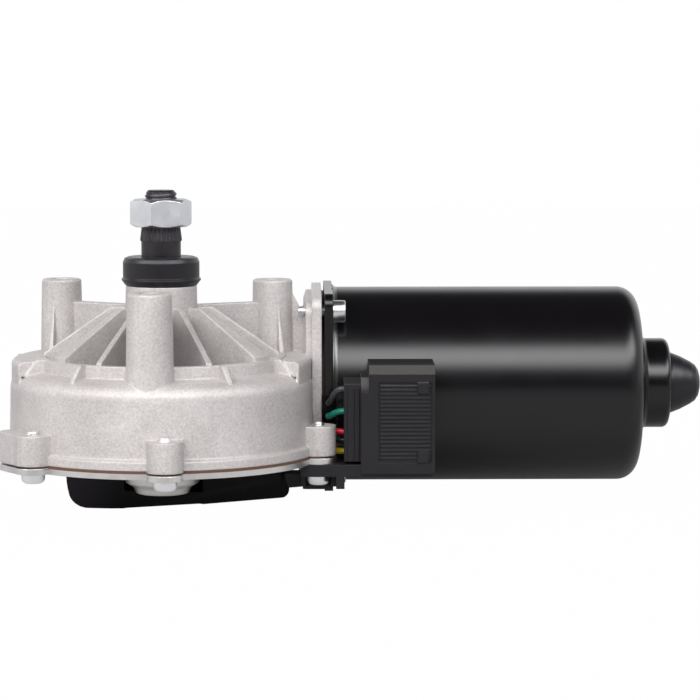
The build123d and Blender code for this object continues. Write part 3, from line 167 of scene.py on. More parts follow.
# metals
castLook = {
    "light": (0.67, 0.64, 0.638), "dark": (0.33, 0.305, 0.30), "worn": (0.78, 0.76, 0.75), "wear": 0.25,
    "grainScale": 1300.0, "speckScale": 3380.0, "blotchScale": 70.0, "contrast": 2.3,
    "blotchShare": 0.35, "grainShare": 0.40, "speckShare": 0.25,
    "depth": 0.00010, "speckDepth": 0.6, "bump": 0.55, "edge": 0.0008,
    "rough": 0.55, "roughGrain": 0.25, "roughWear": 0.12, "metal": 0.30,
}
zincLook = {
    "edge": 0.0003, "cloudScale": 220.0, "fineScale": 2600.0, "cloudGain": 1.4, "cloudShift": 0.2,
    "dull": 0.80, "worn": (0.86, 0.86, 0.85), "wear": 0.5, "depth": 0.00001, "bump": 0.4,
    "roughCloud": 0.22, "roughFine": 0.1,
}
steelLook = {
    "edge": 0.0002, "ringScale": 900.0, "cloudScale": 120.0, "dull": 0.7, "wornGain": 2.2, "wornLift": 0.05,
    "wear": 0.6, "depth": 0.00001, "bump": 0.4, "roughCloud": 0.2, "roughRings": 0.1,
}


def makeCast(name, look):
    s = Shader(name)
    rounded, wear = s.edges(look["edge"])
    grain = s.noise(look["grainScale"], detail=2.0)
    speck = s.noise(look["speckScale"], detail=1.0)
    blotch = s.noise(look["blotchScale"], detail=4.0)
    tone = blotch * look["blotchShare"] + grain * look["grainShare"] + speck * look["speckShare"]
    tone = (tone - 0.5) * look["contrast"] + 0.5
    colour = s.mix(tone.clamp(), look["dark"], look["light"])
    colour = s.mix(wear * look["wear"], colour, look["worn"])
    rough = look["rough"] + (grain - 0.5) * look["roughGrain"] - wear * look["roughWear"]
    normal = s.bump(grain + speck * look["speckDepth"], look["depth"], look["bump"], rounded)
    return s.finish(**{"Base Color": colour, "Roughness": rough, "Metallic": look["metal"], "Normal": normal})


def makeZinc(name, tint, rough, look=zincLook):
    s = Shader(name)
    rounded, wear = s.edges(look["edge"])
    cloud = s.noise(look["cloudScale"], detail=5.0)
    fine = s.noise(look["fineScale"], detail=2.0)
    patches = (cloud * look["cloudGain"] - look["cloudShift"]).clamp()
    colour = s.mix(patches, scaled(tint, look["dull"]), tint)
    colour = s.mix(wear * look["wear"], colour, look["worn"])
    normal = s.bump(fine, look["depth"], look["bump"], rounded)
    return s.finish(**{
        "Base Color": colour, "Metallic": 1.0, "Normal": normal,
        "Roughness": rough + (cloud - 0.5) * look["roughCloud"] + (fine - 0.5) * look["roughFine"],
    })


def makeSteel(name, tint, rough, look=steelLook):
    s = Shader(name)
    rounded, wear = s.edges(look["edge"])
    rings = s.noise(look["ringScale"], detail=3.0)
    cloud = s.noise(look["cloudScale"], detail=4.0)
    colour = s.mix(cloud, scaled(tint, look["dull"]), tint)
    colour = s.mix(wear * look["wear"], colour, scaled(tint, look["wornGain"], look["wornLift"]))
    normal = s.bump(rings, look["depth"], look["bump"], rounded)
    return s.finish(**{
        "Base Color": colour, "Metallic": 1.0, "Normal": normal,
        "Roughness": rough + (cloud - 0.5) * look["roughCloud"] + (rings - 0.5) * look["roughRings"],
    })


# paint, plastic, rubber and gasket
enamelLook = {
    "edge": 0.0008, "peelScale": 420.0, "dustScale": 70.0, "dustGain": 1.5, "dustShift": 0.25, "dusty": 1.6,
    "worn": (0.06, 0.058, 0.056), "wear": 0.25, "depth": 0.00002, "bump": 0.35, "roughDust": 0.08,
}
plasticLook = {
    "edge": 0.0005, "cloudScale": 90.0, "cloudGain": 1.3, "cloudShift": 0.15, "dull": 0.75, "bright": 1.2,
    "wornGain": 1.6, "wornLift": 0.008, "wear": 0.25,
}
mouldLook = {"grainScale": 2400.0, "depth": 0.00003, "bump": 0.5, "roughGrain": 0.2}  # grain of moulded parts
connectorLook = {
    "edge": 0.00045, "cloudScale": 90.0, "cloudGain": 1.3, "cloudShift": 0.15, "dull": 0.8, "bright": 1.2,
    "wornGain": 1.8, "wear": 0.15, "shine": 0.28,
    "low": -0.0335, "high": -0.0300,  # painted highlight on the upward bevels above, painted shade on the upward tops of the ridges below
    "bevelTilt": (0.25, 0.60), "bevelFlat": (0.98, 0.85), "bevelPaintedHighlight": (0.060, 0.057, 0.055),
    "ridgeTilt": (0.15, 0.60), "ridgePaintedShade": 0.45, "ridgeRough": 0.35,
}
# the cover's painted sheen: a lighter left part and a lighter sloping band
coverLook = {
    "edge": 0.0005, "shine": 0.12,
    "left": -0.028, "right": -0.010, "leftShare": 0.8, "leftPaintedSheen": (0.030, 0.026, 0.036),
    "slope": 0.22, "middle": -0.0709, "inner": 0.0003, "outer": 0.0017,
    "bandPaintedSheen": (0.0085, 0.0080, 0.0090),
}
gasketLook = {
    "scale": 1900.0, "dark": (0.055, 0.029, 0.019), "light": (0.165, 0.094, 0.064),
    "rough": 0.85, "roughFibre": 0.1, "depth": 0.00008, "bump": 0.7,
}


def makeEnamel(name, colour, rough, shine, look=enamelLook):
    s = Shader(name)
    rounded, wear = s.edges(look["edge"])
    peel = s.noise(look["peelScale"], detail=2.0)
    dust = s.noise(look["dustScale"], detail=5.0)
    tone = s.mix((dust * look["dustGain"] - look["dustShift"]).clamp(), colour, scaled(colour, look["dusty"]))
    tone = s.mix(wear * look["wear"], tone, look["worn"])
    normal = s.bump(peel, look["depth"], look["bump"], rounded)
    return s.finish(**{
        "Base Color": tone, "Roughness": rough + (dust - 0.5) * look["roughDust"], "Normal": normal,
        "Specular IOR Level": shine,
    })


def cloudTone(s, colour, look):  # the slow change of tone over a moulded surface
    cloud = s.noise(look["cloudScale"], detail=4.0)
    patches = (cloud * look["cloudGain"] - look["cloudShift"]).clamp()
    return s.mix(patches, scaled(colour, look["dull"]), scaled(colour, look["bright"]))


def makePlastic(name, colour, rough, shine=0.5, grain=mouldLook, look=plasticLook):
    s = Shader(name)
    rounded, wear = s.edges(look["edge"])
    speckle = s.noise(grain["grainScale"], detail=2.0)
    tone = cloudTone(s, colour, look)
    tone = s.mix(wear * look["wear"], tone, scaled(colour, look["wornGain"], look["wornLift"]))
    normal = s.bump(speckle, grain["depth"], grain["bump"], rounded)
    return s.finish(**{
        "Base Color": tone, "Roughness": rough + (speckle - 0.5) * grain["roughGrain"], "Normal": normal,
        "Specular IOR Level": shine,
    })


def makeConnectorNylon(name, colour, rough, look=connectorLook):
    s = Shader(name)
    rounded, wear = s.edges(look["edge"])
    grain = s.noise(mouldLook["grainScale"], detail=2.0)
    tone = cloudTone(s, colour, look)
    height = s.split(s.place())[2]
    facing = s.split(rounded)[2]
    # painted highlight: upward-facing bevels above the height high get a paler colour
    paintedHighlightMask = s.steps(facing, *look["bevelTilt"]) * s.steps(facing, *look["bevelFlat"])
    paintedHighlightMask = paintedHighlightMask * s.steps(height, look["low"], look["high"])
    tone = s.mix(paintedHighlightMask, tone, look["bevelPaintedHighlight"])
    # painted shade: upward-facing ridge tops below the height low get a darker colour, and are also rougher
    ridge = s.steps(facing, *look["ridgeTilt"]) * s.steps(height, look["high"], look["low"])
    tone = s.mix(ridge, tone, scaled(colour, look["ridgePaintedShade"]))
    tone = s.mix(wear * look["wear"], tone, scaled(colour, look["wornGain"]))
    normal = s.bump(grain, mouldLook["depth"], mouldLook["bump"], rounded)
    return s.finish(**{
        "Base Color": tone, "Normal": normal, "Specular IOR Level": look["shine"],
        "Roughness": rough + ridge * look["ridgeRough"] + (grain - 0.5) * mouldLook["roughGrain"],
    })


def makeCoverNylon(name, colour, rough, look=coverLook):  # painted sheen: a lighter left part and a lighter sloping band across the front
    s = Shader(name)
    rounded = s.edges(look["edge"])[0]
    grain = s.noise(mouldLook["grainScale"], detail=2.0)
    across, _, height = s.split(s.place())
    left = s.steps(across, look["right"], look["left"])
    offset = height - across * look["slope"] - look["middle"]
    inner, outer = look["inner"], look["outer"]
    band = s.steps(offset, -outer, -inner) * s.steps(offset, outer, inner)
    # painted sheen in the base colour: the band first, then the left part
    tone = s.mix(band, colour, look["bandPaintedSheen"])
    tone = s.mix(left * look["leftShare"], tone, look["leftPaintedSheen"])
    normal = s.bump(grain, mouldLook["depth"], mouldLook["bump"], rounded)
    return s.finish(**{
        "Base Color": tone, "Roughness": rough + (grain - 0.5) * mouldLook["roughGrain"], "Normal": normal,
        "Specular IOR Level": look["shine"],
    })


def makeGasket(name, look=gasketLook):
    s = Shader(name)
    fibre = s.noise(look["scale"], detail=4.0)
    return s.finish(**{
        "Base Color": s.mix(fibre, look["dark"], look["light"]),
        "Roughness": look["rough"] + (fibre - 0.5) * look["roughFibre"],
        "Normal": s.bump(fibre, look["depth"], look["bump"]),
    })


castAluminium = makeCast("castAluminium", castLook)
plateZinc = makeZinc("plateZinc", (0.80, 0.775, 0.77), 0.38)
screwZinc = makeZinc("screwZinc", (0.94, 0.94, 0.96), 0.32)
nutZinc = makeZinc("nutZinc", (0.88, 0.895, 0.94), 0.40)
oxideSteel = makeSteel("oxideSteel", (0.080, 0.074, 0.083), 0.38)
groundSteel = makeSteel("groundSteel", (0.55, 0.55, 0.56), 0.25)
springSteel = makeSteel("springSteel", (0.42, 0.42, 0.43), 0.32)
laminatedSteel = makeSteel("laminatedSteel", (0.24, 0.24, 0.25), 0.5)
brassSheet = makeSteel("brassSheet", (0.72, 0.52, 0.22), 0.3)
turnedCopper = makeSteel("turnedCopper", (0.74, 0.38, 0.22), 0.3)
sinteredBronze = makeSteel("sinteredBronze", (0.50, 0.34, 0.17), 0.5)
tinnedBlade = makeSteel("tinnedBlade", (0.74, 0.73, 0.70), 0.25)
canEnamel = makeEnamel("canEnamel", (0.0022, 0.0018, 0.0026), 0.24, 0.42)
# a paler copy of the can's enamel: painted highlight on the fillet, which is also shinier
filletPaintedHighlight = makeEnamel("filletPaintedHighlight", (0.022, 0.020, 0.020), 0.22, 1.0)
connectorNylon = makeConnectorNylon("connectorNylon", (0.0115, 0.0105, 0.0125), 0.44)
coverNylon = makeCoverNylon("coverNylon", (0.0028, 0.0024, 0.0030), 0.30)
sealGrain = mouldLook | {"grainScale": 1500.0, "depth": 0.00001}
sealRubber = makePlastic("sealRubber", (0.011, 0.0098, 0.0128), 0.34, shine=0.35, grain=sealGrain)
ferriteGrey = makePlastic("ferriteGrey", (0.10, 0.10, 0.105), 0.6)
wheelNylon = makePlastic("wheelNylon", (0.72, 0.69, 0.60), 0.4)
brushBoard = makePlastic("brushBoard", (0.022, 0.016, 0.013), 0.5, shine=0.2)
brushCarbon = makePlastic("brushCarbon", (0.06, 0.06, 0.062), 0.5)
gasketFibre = makeGasket("gasketFibre")

cadFinish(castAluminium, "gear_housing")
cadFinish(plateZinc, "cover_plate")
cadFinish(screwZinc, "cover_screws", "yoke_screws")
cadFinish(nutZinc, "crank_nut")
cadFinish(oxideSteel, "output_shaft")
cadFinish(groundSteel, "armature_shaft", "front_bearing")
cadFinish(springSteel, "magnet_clips", "bearing_clip", "shaft_circlip", "thrust_washer")
cadFinish(laminatedSteel, "armature_core")
cadFinish(brassSheet, "brush_boxes", "parking_disc", "contact_fingers")
cadFinish(turnedCopper, "commutator", "armature_windings")
cadFinish(sinteredBronze, "output_bushes", "worm_end_bush", "rear_bearing")
cadFinish(tinnedBlade, "terminals")
cadFinish(canEnamel, "yoke")
cadFinish(connectorNylon, "connector_housing")
cadFinish(coverNylon, "parking_cover", "lead_grommet")
cadFinish(sealRubber, "shaft_seal", "end_plug")
cadFinish(ferriteGrey, "field_magnets")
cadFinish(wheelNylon, "worm_wheel", "thrust_pad")
cadFinish(brushBoard, "brush_plate", "contact_carrier")
cadFinish(brushCarbon, "brush_1", "brush_2", "brush_3")
cadFinish(gasketFibre, "cover_gasket")

leadColours = {
    "grey": (0.045, 0.045, 0.048), "green": (0.004, 0.23, 0.155), "red": (0.62, 0.012, 0.035),
    "black": (0.010, 0.010, 0.010), "yellow": (0.66, 0.50, 0.015),
}
leadGrain = mouldLook | {"grainScale": 900.0, "depth": 0.00002}
for colourName, colour in leadColours.items():
    insulation = makePlastic(colourName + "Insulation", colour, 0.32, grain=leadGrain)
    cadFinish(insulation, "lead_" + colourName)
print("materials on all nodes")


def turnProfile(bm, points, steps=48, turns=1.0, climb=0.0):  # points are (radius, height)
    made = [bm.verts.new((radius, 0.0, height)) for radius, height in points]
    edges = [bm.edges.new(pair) for pair in zip(made, made[1:])]
    if climb:
        edges.append(bm.edges.new((made[-1], made[0])))
    count = int(steps * turns)
    bmesh.ops.spin(
        bm, geom=made + edges, cent=(0, 0, 0), axis=(0, 0, 1), dvec=(0, 0, climb / steps),
        angle=2 * pi * turns, steps=count, use_merge=not climb, use_normal_flip=False, use_duplicate=False,
    )


def closeLoops(bm):
    rims = [edge for edge in bm.edges if edge.is_boundary]
    if rims:
        bmesh.ops.holes_fill(bm, edges=rims, sides=0)


# how deep the ridge's foot stands in the core, and its corners as shares of half a pitch
threadShape = {"sink": 0.05 * mm, "flank": (0.02, 0.85, 1.15, 1.98)}


def addThread(bm, core, crest, pitch, low, high, steps=28):  # one ridge climbing round a shank
    turns = (high - low) / pitch - 1.0
    foot = core - threadShape["sink"]
    places = [low + share * pitch / 2 for share in threadShape["flank"]]
    ridge = list(zip((foot, crest, crest, foot), places))
    part = bmesh.new()
    turnProfile(part, ridge, steps, turns, pitch)
    closeLoops(part)
    bmesh.ops.recalc_face_normals(part, faces=part.faces)
    spare = bpy.data.meshes.new("ridge")
    part.to_mesh(spare)
    part.free()
    bm.from_mesh(spare)
    bpy.data.meshes.remove(spare)


socketShape = {"sides": 6, "drill": 0.25}  # the drill's cone at the bottom is a share of the depth


def addPolySocket(bm, radius, depth, level):  # joins the open rim at a level to a deep polygon
    rim = [edge for edge in bm.edges if edge.is_boundary and abs(edge.verts[0].co.z - level) < cadWeld]
    made = bmesh.ops.create_circle(bm, cap_ends=False, radius=radius, segments=socketShape["sides"])["verts"]
    bmesh.ops.translate(bm, verts=made, vec=(0, 0, level))
    ring = list({edge for vert in made for edge in vert.link_edges})
    bmesh.ops.bridge_loops(bm, edges=rim + ring)
    wall = bmesh.ops.extrude_edge_only(bm, edges=ring)["geom"]
    foot = [item for item in wall if isinstance(item, bmesh.types.BMVert)]
    bmesh.ops.translate(bm, verts=foot, vec=(0, 0, -depth))
    floor = bmesh.ops.contextual_create(bm, geom=foot)["faces"]
    bmesh.ops.poke(bm, faces=floor, offset=-depth * socketShape["drill"], center_mode="MEAN")


def roundOutline(corners, steps=6):  # corners are (a, b, radius)
    points = []
    beforeAll, afterAll = corners[-1:] + corners[:-1], corners[1:] + corners[:1]
    for (a, b, radius), before, after in zip(corners, beforeAll, afterAll):
        here = Vector((a, b))
        if not radius:
            points.append(here)
            continue
        back = (Vector(before[:2]) - here).normalized()
        onward = (Vector(after[:2]) - here).normalized()
        half = back.angle(onward) / 2
        middle = here + (back + onward).normalized() * radius / sin(half)
        ends = here + back * radius / tan(half), here + onward * radius / tan(half)
        for step in range(steps + 1):
            spoke = ends[0].lerp(ends[1], step / steps) - middle
            points.append(middle + spoke.normalized() * radius)
    return points


def addPrism(bm, outline, lift, start, end):  # lift turns (a, b, c) into a place
    foot = [bm.verts.new(lift(a, b, start)) for a, b in outline]
    face = bm.faces.new(foot)
    made = bmesh.ops.extrude_face_region(bm, geom=[face])["geom"]
    shift = Vector(lift(0, 0, end)) - Vector(lift(0, 0, start))
    moved = [item for item in made if isinstance(item, bmesh.types.BMVert)]
    bmesh.ops.translate(bm, verts=moved, vec=shift)


def makePiece(name, bm, material, body, smooth=35.0):
    bmesh.ops.remove_doubles(bm, verts=bm.verts, dist=weld)
    bmesh.ops.recalc_face_normals(bm, faces=bm.faces)
    mesh = bpy.data.meshes.new(name)
    for face in bm.faces:
        face.smooth = True
    for edge in bm.edges:
        edge.smooth = len(edge.link_faces) == 2 and edge.calc_face_angle(0.0) < radians(smooth)
    bm.to_mesh(mesh)
    bm.free()
    mesh.materials.append(material)
    piece = bpy.data.objects.new(name, mesh)
    bpy.context.scene.collection.objects.link(piece)
    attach(piece, body)
    return piece


def copyInto(bm, source, matrix):  # adds a moved copy of a finished mesh
    before = len(bm.verts)
    bm.from_mesh(source)
    bm.verts.ensure_lookup_table()
    bmesh.ops.transform(bm, matrix=matrix, verts=bm.verts[before:])


# screws of the plate's rim, the proportions first
screwShape = {
    "tipRun": 0.55 * mm, "tipInset": 0.2 * mm, "neckTop": 0.6 * mm, "neckFoot": 0.3 * mm,
    "threadFoot": 0.8 * mm, "rim": 0.35 * mm,  # the rest are shares of the dome and the recess
    "domeStart": 1.2, "domeInset": 0.35, "domeDrop": 0.42, "mouth": 1.2,
}
coverScrewSet = {
    "circle": 50.3 * mm, "angles": (221.2, 273.5, 348.0, 58.0, 104.0, 150.0),
    "twist": 3.7,  # a recess is turned by this many times its screw's own angle
    "clamped": 2, "bracket": 3.8 * mm,  # this screw also holds the connector's bracket
    "tip": -42.6 * mm, "seat": -55.4 * mm, "shank": 2.0 * mm, "core": 1.75 * mm, "pitch": 0.7 * mm,
    "head": 3.6 * mm, "height": 3.0 * mm, "dome": 1.1 * mm, "socket": 1.5 * mm, "depth": 1.3 * mm,
}


def screwMesh(look, length, shape=screwShape):  # stands on its seat at zero, shank upwards and head below
    bm = bmesh.new()
    head, height, core, dome = look["head"], look["height"], look["core"], look["dome"]
    tip = length - shape["tipRun"]
    turnProfile(bm, [
        (0.0, length), (core - shape["tipInset"], length), (core, tip), (core, shape["neckTop"]),
        (look["shank"], shape["neckFoot"]), (look["shank"], 0.0), (head, 0.0), (head, -shape["rim"]),
        (head, -height + shape["domeStart"] * dome),
        (head - shape["domeInset"] * dome, -height + shape["domeDrop"] * dome),
        (head - dome, -height), (look["socket"] * shape["mouth"], -height),
    ])
    bmesh.ops.remove_doubles(bm, verts=bm.verts, dist=weld)
    bmesh.ops.scale(bm, vec=(1, 1, -1), verts=bm.verts)  # the recess is cut from above
    addPolySocket(bm, look["socket"], look["depth"], height)
    bmesh.ops.scale(bm, vec=(1, 1, -1), verts=bm.verts)
    bmesh.ops.recalc_face_normals(bm, faces=bm.faces)
    addThread(bm, core, look["shank"], look["pitch"], shape["threadFoot"], tip)
    mesh = bpy.data.meshes.new("screw")
    bm.to_mesh(mesh)
    bm.free()
    return mesh


def makeCoverScrews(look):
    bm = bmesh.new()
    for index, angle in enumerate(look["angles"]):
        seat = look["seat"] - (look["bracket"] if index == look["clamped"] else 0.0)
        source = screwMesh(look, look["tip"] - seat)
        turn = radians(angle)
        place = Matrix.Translation((look["circle"] * cos(turn), look["circle"] * sin(turn), seat))
        copyInto(bm, source, place @ Matrix.Rotation(turn * look["twist"], 4, "Z"))
        bpy.data.meshes.remove(source)
    piece = makePiece("coverScrews", bm, screwZinc, "housing")
    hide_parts("cover_screws")


makeCoverScrews(coverScrewSet)

# screws of the can's flange
yokeScrewSet = {
    "axisY": 36.9 * mm, "axisZ": -35.6 * mm, "reach": 25.8 * mm, "seat": 54.0 * mm,
    "tips": {-1: 43.0 * mm, 1: 46.2 * mm},  # the front pair comes through, the back pair is blind
    "shank": 2.0 * mm, "core": 1.65 * mm, "pitch": 0.7 * mm,
    "head": 3.5 * mm, "height": 4.0 * mm, "dome": 0.4 * mm, "socket": 1.75 * mm, "depth": 2.1 * mm,
}


def makeYokeScrews(look):
    bm = bmesh.new()
    for side, tip in look["tips"].items():
        source = screwMesh(look, look["seat"] - tip)
        for level in (-1, 1):
            place = Matrix.Translation((
                look["seat"], look["axisY"] + side * look["reach"], look["axisZ"] + level * look["reach"],
            ))
            copyInto(bm, source, place @ Matrix.Rotation(radians(-90.0), 4, "Y"))
        bpy.data.meshes.remove(source)
    piece = makePiece("yokeScrews", bm, screwZinc, "housing")
    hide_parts("yoke_screws")


makeYokeScrews(yokeScrewSet)
print("screws made")


# thread of the output shaft
crankThreadSet = {
    "core": 4.6 * mm, "crest": 5.0 * mm, "pitch": 1.25 * mm, "low": 26.2 * mm, "high": 28.9 * mm,
    "steps": 64, "smooth": 50.0,
}


def makeCrankThread(look):
    bm = bmesh.new()
    low = look["low"] - look["pitch"]
    addThread(bm, look["core"], look["crest"], look["pitch"], low, look["high"], look["steps"])
    makePiece("crankThread", bm, oxideSteel, "output", look["smooth"])


makeCrankThread(crankThreadSet)
print("crank thread made")


# parking cover: its flare on the left, its lower right end and the bridge under the plate's cup
parkingSet = {
    "level": -66.7 * mm, "front": 7.4 * mm, "back": 15.2 * mm, "half": 12.9 * mm,
    "foot": (-72.35 * mm, -70.35 * mm),
    "left": -26.0 * mm, "flare": 1.25 * mm, "flareMiddle": -65.0 * mm, "flareReach": 7.5 * mm,
    "sagStart": 0.0 * mm, "sag": 0.55 * mm, "sagTop": -62.0 * mm,
}


def makeParkingShell(look):
    bm = bmesh.new()
    bm.from_mesh(nodes["parking_cover"].data)
    bmesh.ops.remove_doubles(bm, verts=bm.verts, dist=cadWeld)
    low = look["foot"]
    left = [(-look["half"], look["level"], 0), (-look["half"], low[0], 0)]
    right = [(look["half"], low[1], 0), (look["half"], look["level"], 0)]
    addPrism(bm, roundOutline(left + right), lambda a, b, c: (a, c, b), look["front"], look["back"])
    for vert in bm.verts:
        x, _, z = vert.co
        if x < look["left"]:
            bulge = 1.0 - ((z - look["flareMiddle"]) / look["flareReach"]) ** 2
            vert.co.x -= look["flare"] * max(0.0, bulge)
        if x > look["sagStart"] and z < look["sagTop"]:
            vert.co.z -= look["sag"]
    piece = makePiece("parkingShell", bm, coverNylon, "housing")
    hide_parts("parking_cover")


makeParkingShell(parkingSet)
print("parking shell made")


# gasket: thicker along the rim, drawn back at the lugs
gasketSet = {
    "reach": 49.3 * mm, "proud": 0.12 * mm, "recess": 1.3 * mm, "inner": 47.0 * mm,
    "thick": 1.5, "lugThick": 0.9,
}


def makeGasketPiece(look):
    bm = bmesh.new()
    bm.from_mesh(nodes["cover_gasket"].data)
    bmesh.ops.remove_doubles(bm, verts=bm.verts, dist=cadWeld)
    heights = [vert.co.z for vert in bm.verts]
    middle = (min(heights) + max(heights)) / 2
    for vert in bm.verts:
        radius = vert.co.xy.length
        if radius < look["inner"]:
            continue
        lug = radius > look["reach"]
        shift = (-look["recess"] if lug else look["proud"]) / radius
        vert.co.x += vert.co.x * shift
        vert.co.y += vert.co.y * shift
        vert.co.z = middle + (vert.co.z - middle) * look["lugThick" if lug else "thick"]
    piece = makePiece("gasketPiece", bm, gasketFibre, "housing")
    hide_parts("cover_gasket")


makeGasketPiece(gasketSet)
print("gasket made")


# connector: the lip and arm at its bracket screw and the ribs of its wire entry
lipSet = {
    "left": 44.3 * mm, "right": 52.6 * mm, "front": -8.4 * mm, "back": -3.6 * mm,
    "top": -62.7 * mm, "foot": -64.1 * mm, "round": 1.2 * mm,
    "arm": ((38.6, -59.7), (45.6, -59.7), (45.6, -63.8), (39.6, -64.3)),  # mm along X and Z
    "armHalf": 4.0 * mm, "armRound": 0.5 * mm,
}
ribSet = {
    "middles": (58.0 * mm, 60.2 * mm, 61.7 * mm), "half": 0.28 * mm, "roundShare": 0.6, "steps": 3,
    "front": -15.35 * mm, "back": -14.8 * mm, "top": -31.5 * mm, "foot": -54.5 * mm,
}


def frontRounded(look, left, right, radius):  # a rectangle's corners, the two in front rounded
    front, back = look["front"], look["back"]
    return [(left, front, radius), (right, front, radius), (right, back, 0), (left, back, 0)]


def makeConnectorTrim(lip, rib):
    bm = bmesh.new()
    across = frontRounded(lip, lip["left"], lip["right"], lip["round"])
    addPrism(bm, roundOutline(across), lambda a, b, c: (a, b, c), lip["foot"], lip["top"])
    reach = lip["armHalf"]
    corners = [(a * mm, b * mm, lip["armRound"]) for a, b in lip["arm"]]
    addPrism(bm, roundOutline(corners), lambda a, b, c: (a, c, b), -reach, reach)
    half = rib["half"]
    for middle in rib["middles"]:
        across = frontRounded(rib, middle - half, middle + half, half * rib["roundShare"])
        outline = roundOutline(across, rib["steps"])
        addPrism(bm, outline, lambda a, b, c: (a, b, c), rib["foot"], rib["top"])
    makePiece("connectorTrim", bm, connectorNylon, "housing")


makeConnectorTrim(lipSet, ribSet)
print("connector trim made")


# can: the pressed fillet between its flange and its wall
canFilletSet = {
    "face": 54.0 * mm, "radius": 31.6 * mm, "rise": 1.3 * mm, "run": 1.5 * mm, "sink": 0.1 * mm,
    "axisY": 36.9 * mm, "axisZ": -35.6 * mm, "turnStep": 10, "steps": 96, "smooth": 60.0,
}


def makeCanFillet(look):
    bm = bmesh.new()
    radius, rise, run = look["radius"], look["rise"], look["run"]
    turns = [radians(turn) for turn in range(0, 91, look["turnStep"])]
    curve = [(radius + rise * (1 - sin(turn)), run * (1 - cos(turn))) for turn in turns]
    inside = radius - look["sink"]
    turnProfile(bm, [(inside, 0.0)] + curve + [(inside, run)], look["steps"])
    for vert in bm.verts:  # the far side stays flush with the can, inside the whole object's box
        vert.co.y = min(vert.co.y, radius)
    place = Matrix.Translation((look["face"], look["axisY"], look["axisZ"]))
    bmesh.ops.transform(bm, matrix=place @ Matrix.Rotation(radians(90.0), 4, "Y"), verts=bm.verts)
    # its enamel is paler than the can's: a painted highlight
    makePiece("canFillet", bm, filletPaintedHighlight, "housing", look["smooth"])


makeCanFillet(canFilletSet)
print("can fillet made")


# floor, light and camera
studio = {
    "floorSize": 4.0, "floorMiddle": 0.06, "floorGap": 0.0001,
    "floorTone": (0.42, 0.42, 0.42, 1.0), "floorSeen": 0.99, "floorGloss": 0.43,
    "farEnd": -0.34, "farStart": -0.13,  # painted reflection: glossy surfaces see the floor dark far in front, and with painted shadow from under the motor back
    "shadeFront": -0.020, "shadeBack": 0.022, "shade": 0.80,
    "white": (1.0, 1.0, 1.0, 1.0), "fillLow": 0.55, "fillHigh": 0.85,
    "overhead": 0.045, "front": 0.035, "sideLeft": 0.85, "sideRight": 0.45, "back": 1.0,
    "wallLow": 22.0, "wallHigh": 44.0,  # the walls' and the band's edges are degrees above the horizon
    # where a tone starts and where it is full, along a unit direction
    "wallTurn": (-0.75, 0.15), "sideTurn": (0.45, 0.85), "bandTurn": (0.1, -0.4), "fillTurn": (0.1, 0.8),
    "band": 8.0, "bandFoot": 19.0, "bandLow": 34.0, "bandHigh": 41.0, "bandTop": 56.0,
}


def makeFloor():
    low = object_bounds()[0]
    bm = bmesh.new()
    bmesh.ops.create_grid(bm, x_segments=1, y_segments=1, size=studio["floorSize"] / 2)
    bmesh.ops.translate(bm, verts=bm.verts, vec=(studio["floorMiddle"], 0.0, low[2] - studio["floorGap"]))
    mesh = bpy.data.meshes.new("floor")
    bm.to_mesh(mesh)
    bm.free()
    floor = bpy.data.objects.new("floor", mesh)
    bpy.context.scene.collection.objects.link(floor)
    s = Shader("floorWhite")
    plain = s.node("ShaderNodeBsdfDiffuse", {}, {"Color": studio["floorTone"]})
    glow = s.node("ShaderNodeEmission", {}, {"Color": studio["white"], "Strength": 1.0})
    path = s.node("ShaderNodeLightPath", {}, {}, "Is Camera Ray")
    gloss = s.node("ShaderNodeLightPath", {}, {}, "Is Glossy Ray")
    depth = s.split(s.place())[1]
    # the floor's glow as glossy surfaces see it: painted shadow under the motor, dark far in front
    paintedMotorShadow = s.steps(depth, studio["shadeFront"], studio["shadeBack"])
    near = s.steps(depth, studio["farEnd"], studio["farStart"])
    tone = (1.0 - paintedMotorShadow * studio["shade"]) * near * studio["floorGloss"]
    seen = (path * studio["floorSeen"] + gloss * tone).clamp()
    surface = s.node("ShaderNodeMixShader", {}, {0: seen, 1: plain, 2: glow})
    s.node("ShaderNodeOutputMaterial", {}, {"Surface": surface})
    mesh.materials.append(s.owner)


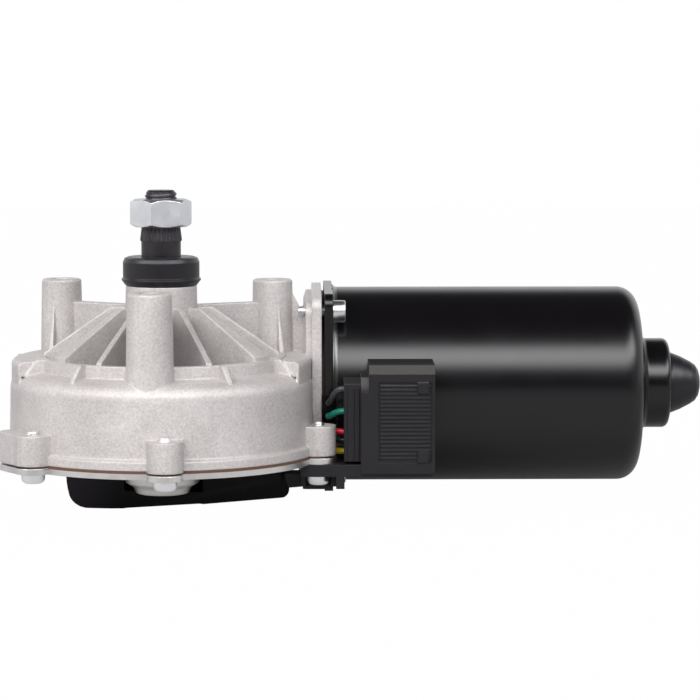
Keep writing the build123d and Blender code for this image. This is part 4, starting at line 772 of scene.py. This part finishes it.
def makeWorld():
    world = bpy.data.worlds.new("studioWorld")
    bpy.context.scene.world = world
    s = Shader("studioWorld", world)
    x, y, height = s.split(s.node("ShaderNodeTexCoord", {}, {}, "Generated"))
    level = {key: sin(radians(studio[key])) for key in (
        "wallLow", "wallHigh", "bandFoot", "bandLow", "bandHigh", "bandTop",
    )}
    start, full = studio["sideTurn"]
    wall = studio["front"] + s.steps(y, *studio["wallTurn"]) * (studio["back"] - studio["front"])
    wall = wall.math("MAXIMUM", s.steps(x, -start, -full) * studio["sideLeft"])
    wall = wall.math("MAXIMUM", s.steps(x, start, full) * studio["sideRight"])
    fade = s.steps(height, level["wallHigh"], level["wallLow"])
    band = s.steps(height, level["bandFoot"], level["bandLow"])
    band = band * s.steps(height, level["bandTop"], level["bandHigh"]) * s.steps(y, *studio["bandTurn"])
    glossTone = studio["overhead"] + fade * (wall - studio["overhead"]) + band * studio["band"]
    rise = s.steps(height, *studio["fillTurn"])
    fillTone = studio["fillLow"] + rise * (studio["fillHigh"] - studio["fillLow"])
    fill = s.node("ShaderNodeBackground", {}, {"Color": studio["white"], "Strength": fillTone})
    seen = s.node("ShaderNodeBackground", {}, {"Color": studio["white"], "Strength": 1.0})
    mirrored = s.node("ShaderNodeBackground", {}, {"Color": studio["white"], "Strength": glossTone})
    camera = s.node("ShaderNodeLightPath", {}, {}, "Is Camera Ray")
    glossy = s.node("ShaderNodeLightPath", {}, {}, "Is Glossy Ray")
    mixed = s.node("ShaderNodeMixShader", {}, {0: glossy, 1: fill, 2: mirrored})
    mixed = s.node("ShaderNodeMixShader", {}, {0: camera, 1: mixed, 2: seen})
    s.node("ShaderNodeOutputWorld", {}, {"Surface": mixed})


softboxes = {
    "boxFront": {
        "place": (0.05, -1.1, 0.55), "aim": (0.05, 0.0, -0.03), "size": (1.0, 0.5), "watts": 8.0,
        "tint": (1.0, 1.0, 1.0),
    },
    "keyLeft": {
        "place": (-0.75, -0.95, 0.75), "aim": (0.0, 0.0, -0.03), "size": (0.6, 0.6), "watts": 10.0,
        "tint": (1.0, 0.985, 0.97),
    },
}


def addSoftbox(name, look):  # lights without being mirrored, since the world gives the reflections
    light = bpy.data.lights.new(name, "AREA")
    light.shape = "RECTANGLE"
    light.size, light.size_y = look["size"]
    light.energy = look["watts"]
    light.color = look["tint"]
    box = bpy.data.objects.new(name, light)
    box.location = look["place"]
    aim = Vector(look["aim"]) - Vector(look["place"])
    box.rotation_euler = aim.to_track_quat("-Z", "Y").to_euler()
    box.visible_glossy = False
    bpy.context.scene.collection.objects.link(box)


cameraSet = {
    "place": (0.0435, -0.945, 0.0718), "aim": (0.05925, 0.0, -0.0211), "lens": 155.05, "sensor": 36.0,
    "clip": 0.05,
}


def addCamera():
    data = bpy.data.cameras.new("studioCamera")
    data.lens = cameraSet["lens"]
    data.sensor_width = cameraSet["sensor"]
    data.sensor_fit = "HORIZONTAL"
    data.clip_start = cameraSet["clip"]
    camera = bpy.data.objects.new("studioCamera", data)
    camera.location = cameraSet["place"]
    look = Vector(cameraSet["aim"]) - Vector(cameraSet["place"])
    camera.rotation_euler = look.to_track_quat("-Z", "Y").to_euler()
    bpy.context.scene.collection.objects.link(camera)
    bpy.context.scene.camera = camera


makeFloor()
makeWorld()
for boxName, boxLook in softboxes.items():
    addSoftbox(boxName, boxLook)
addCamera()
bpy.context.scene.view_settings.view_transform = "Standard"
print("studio set")
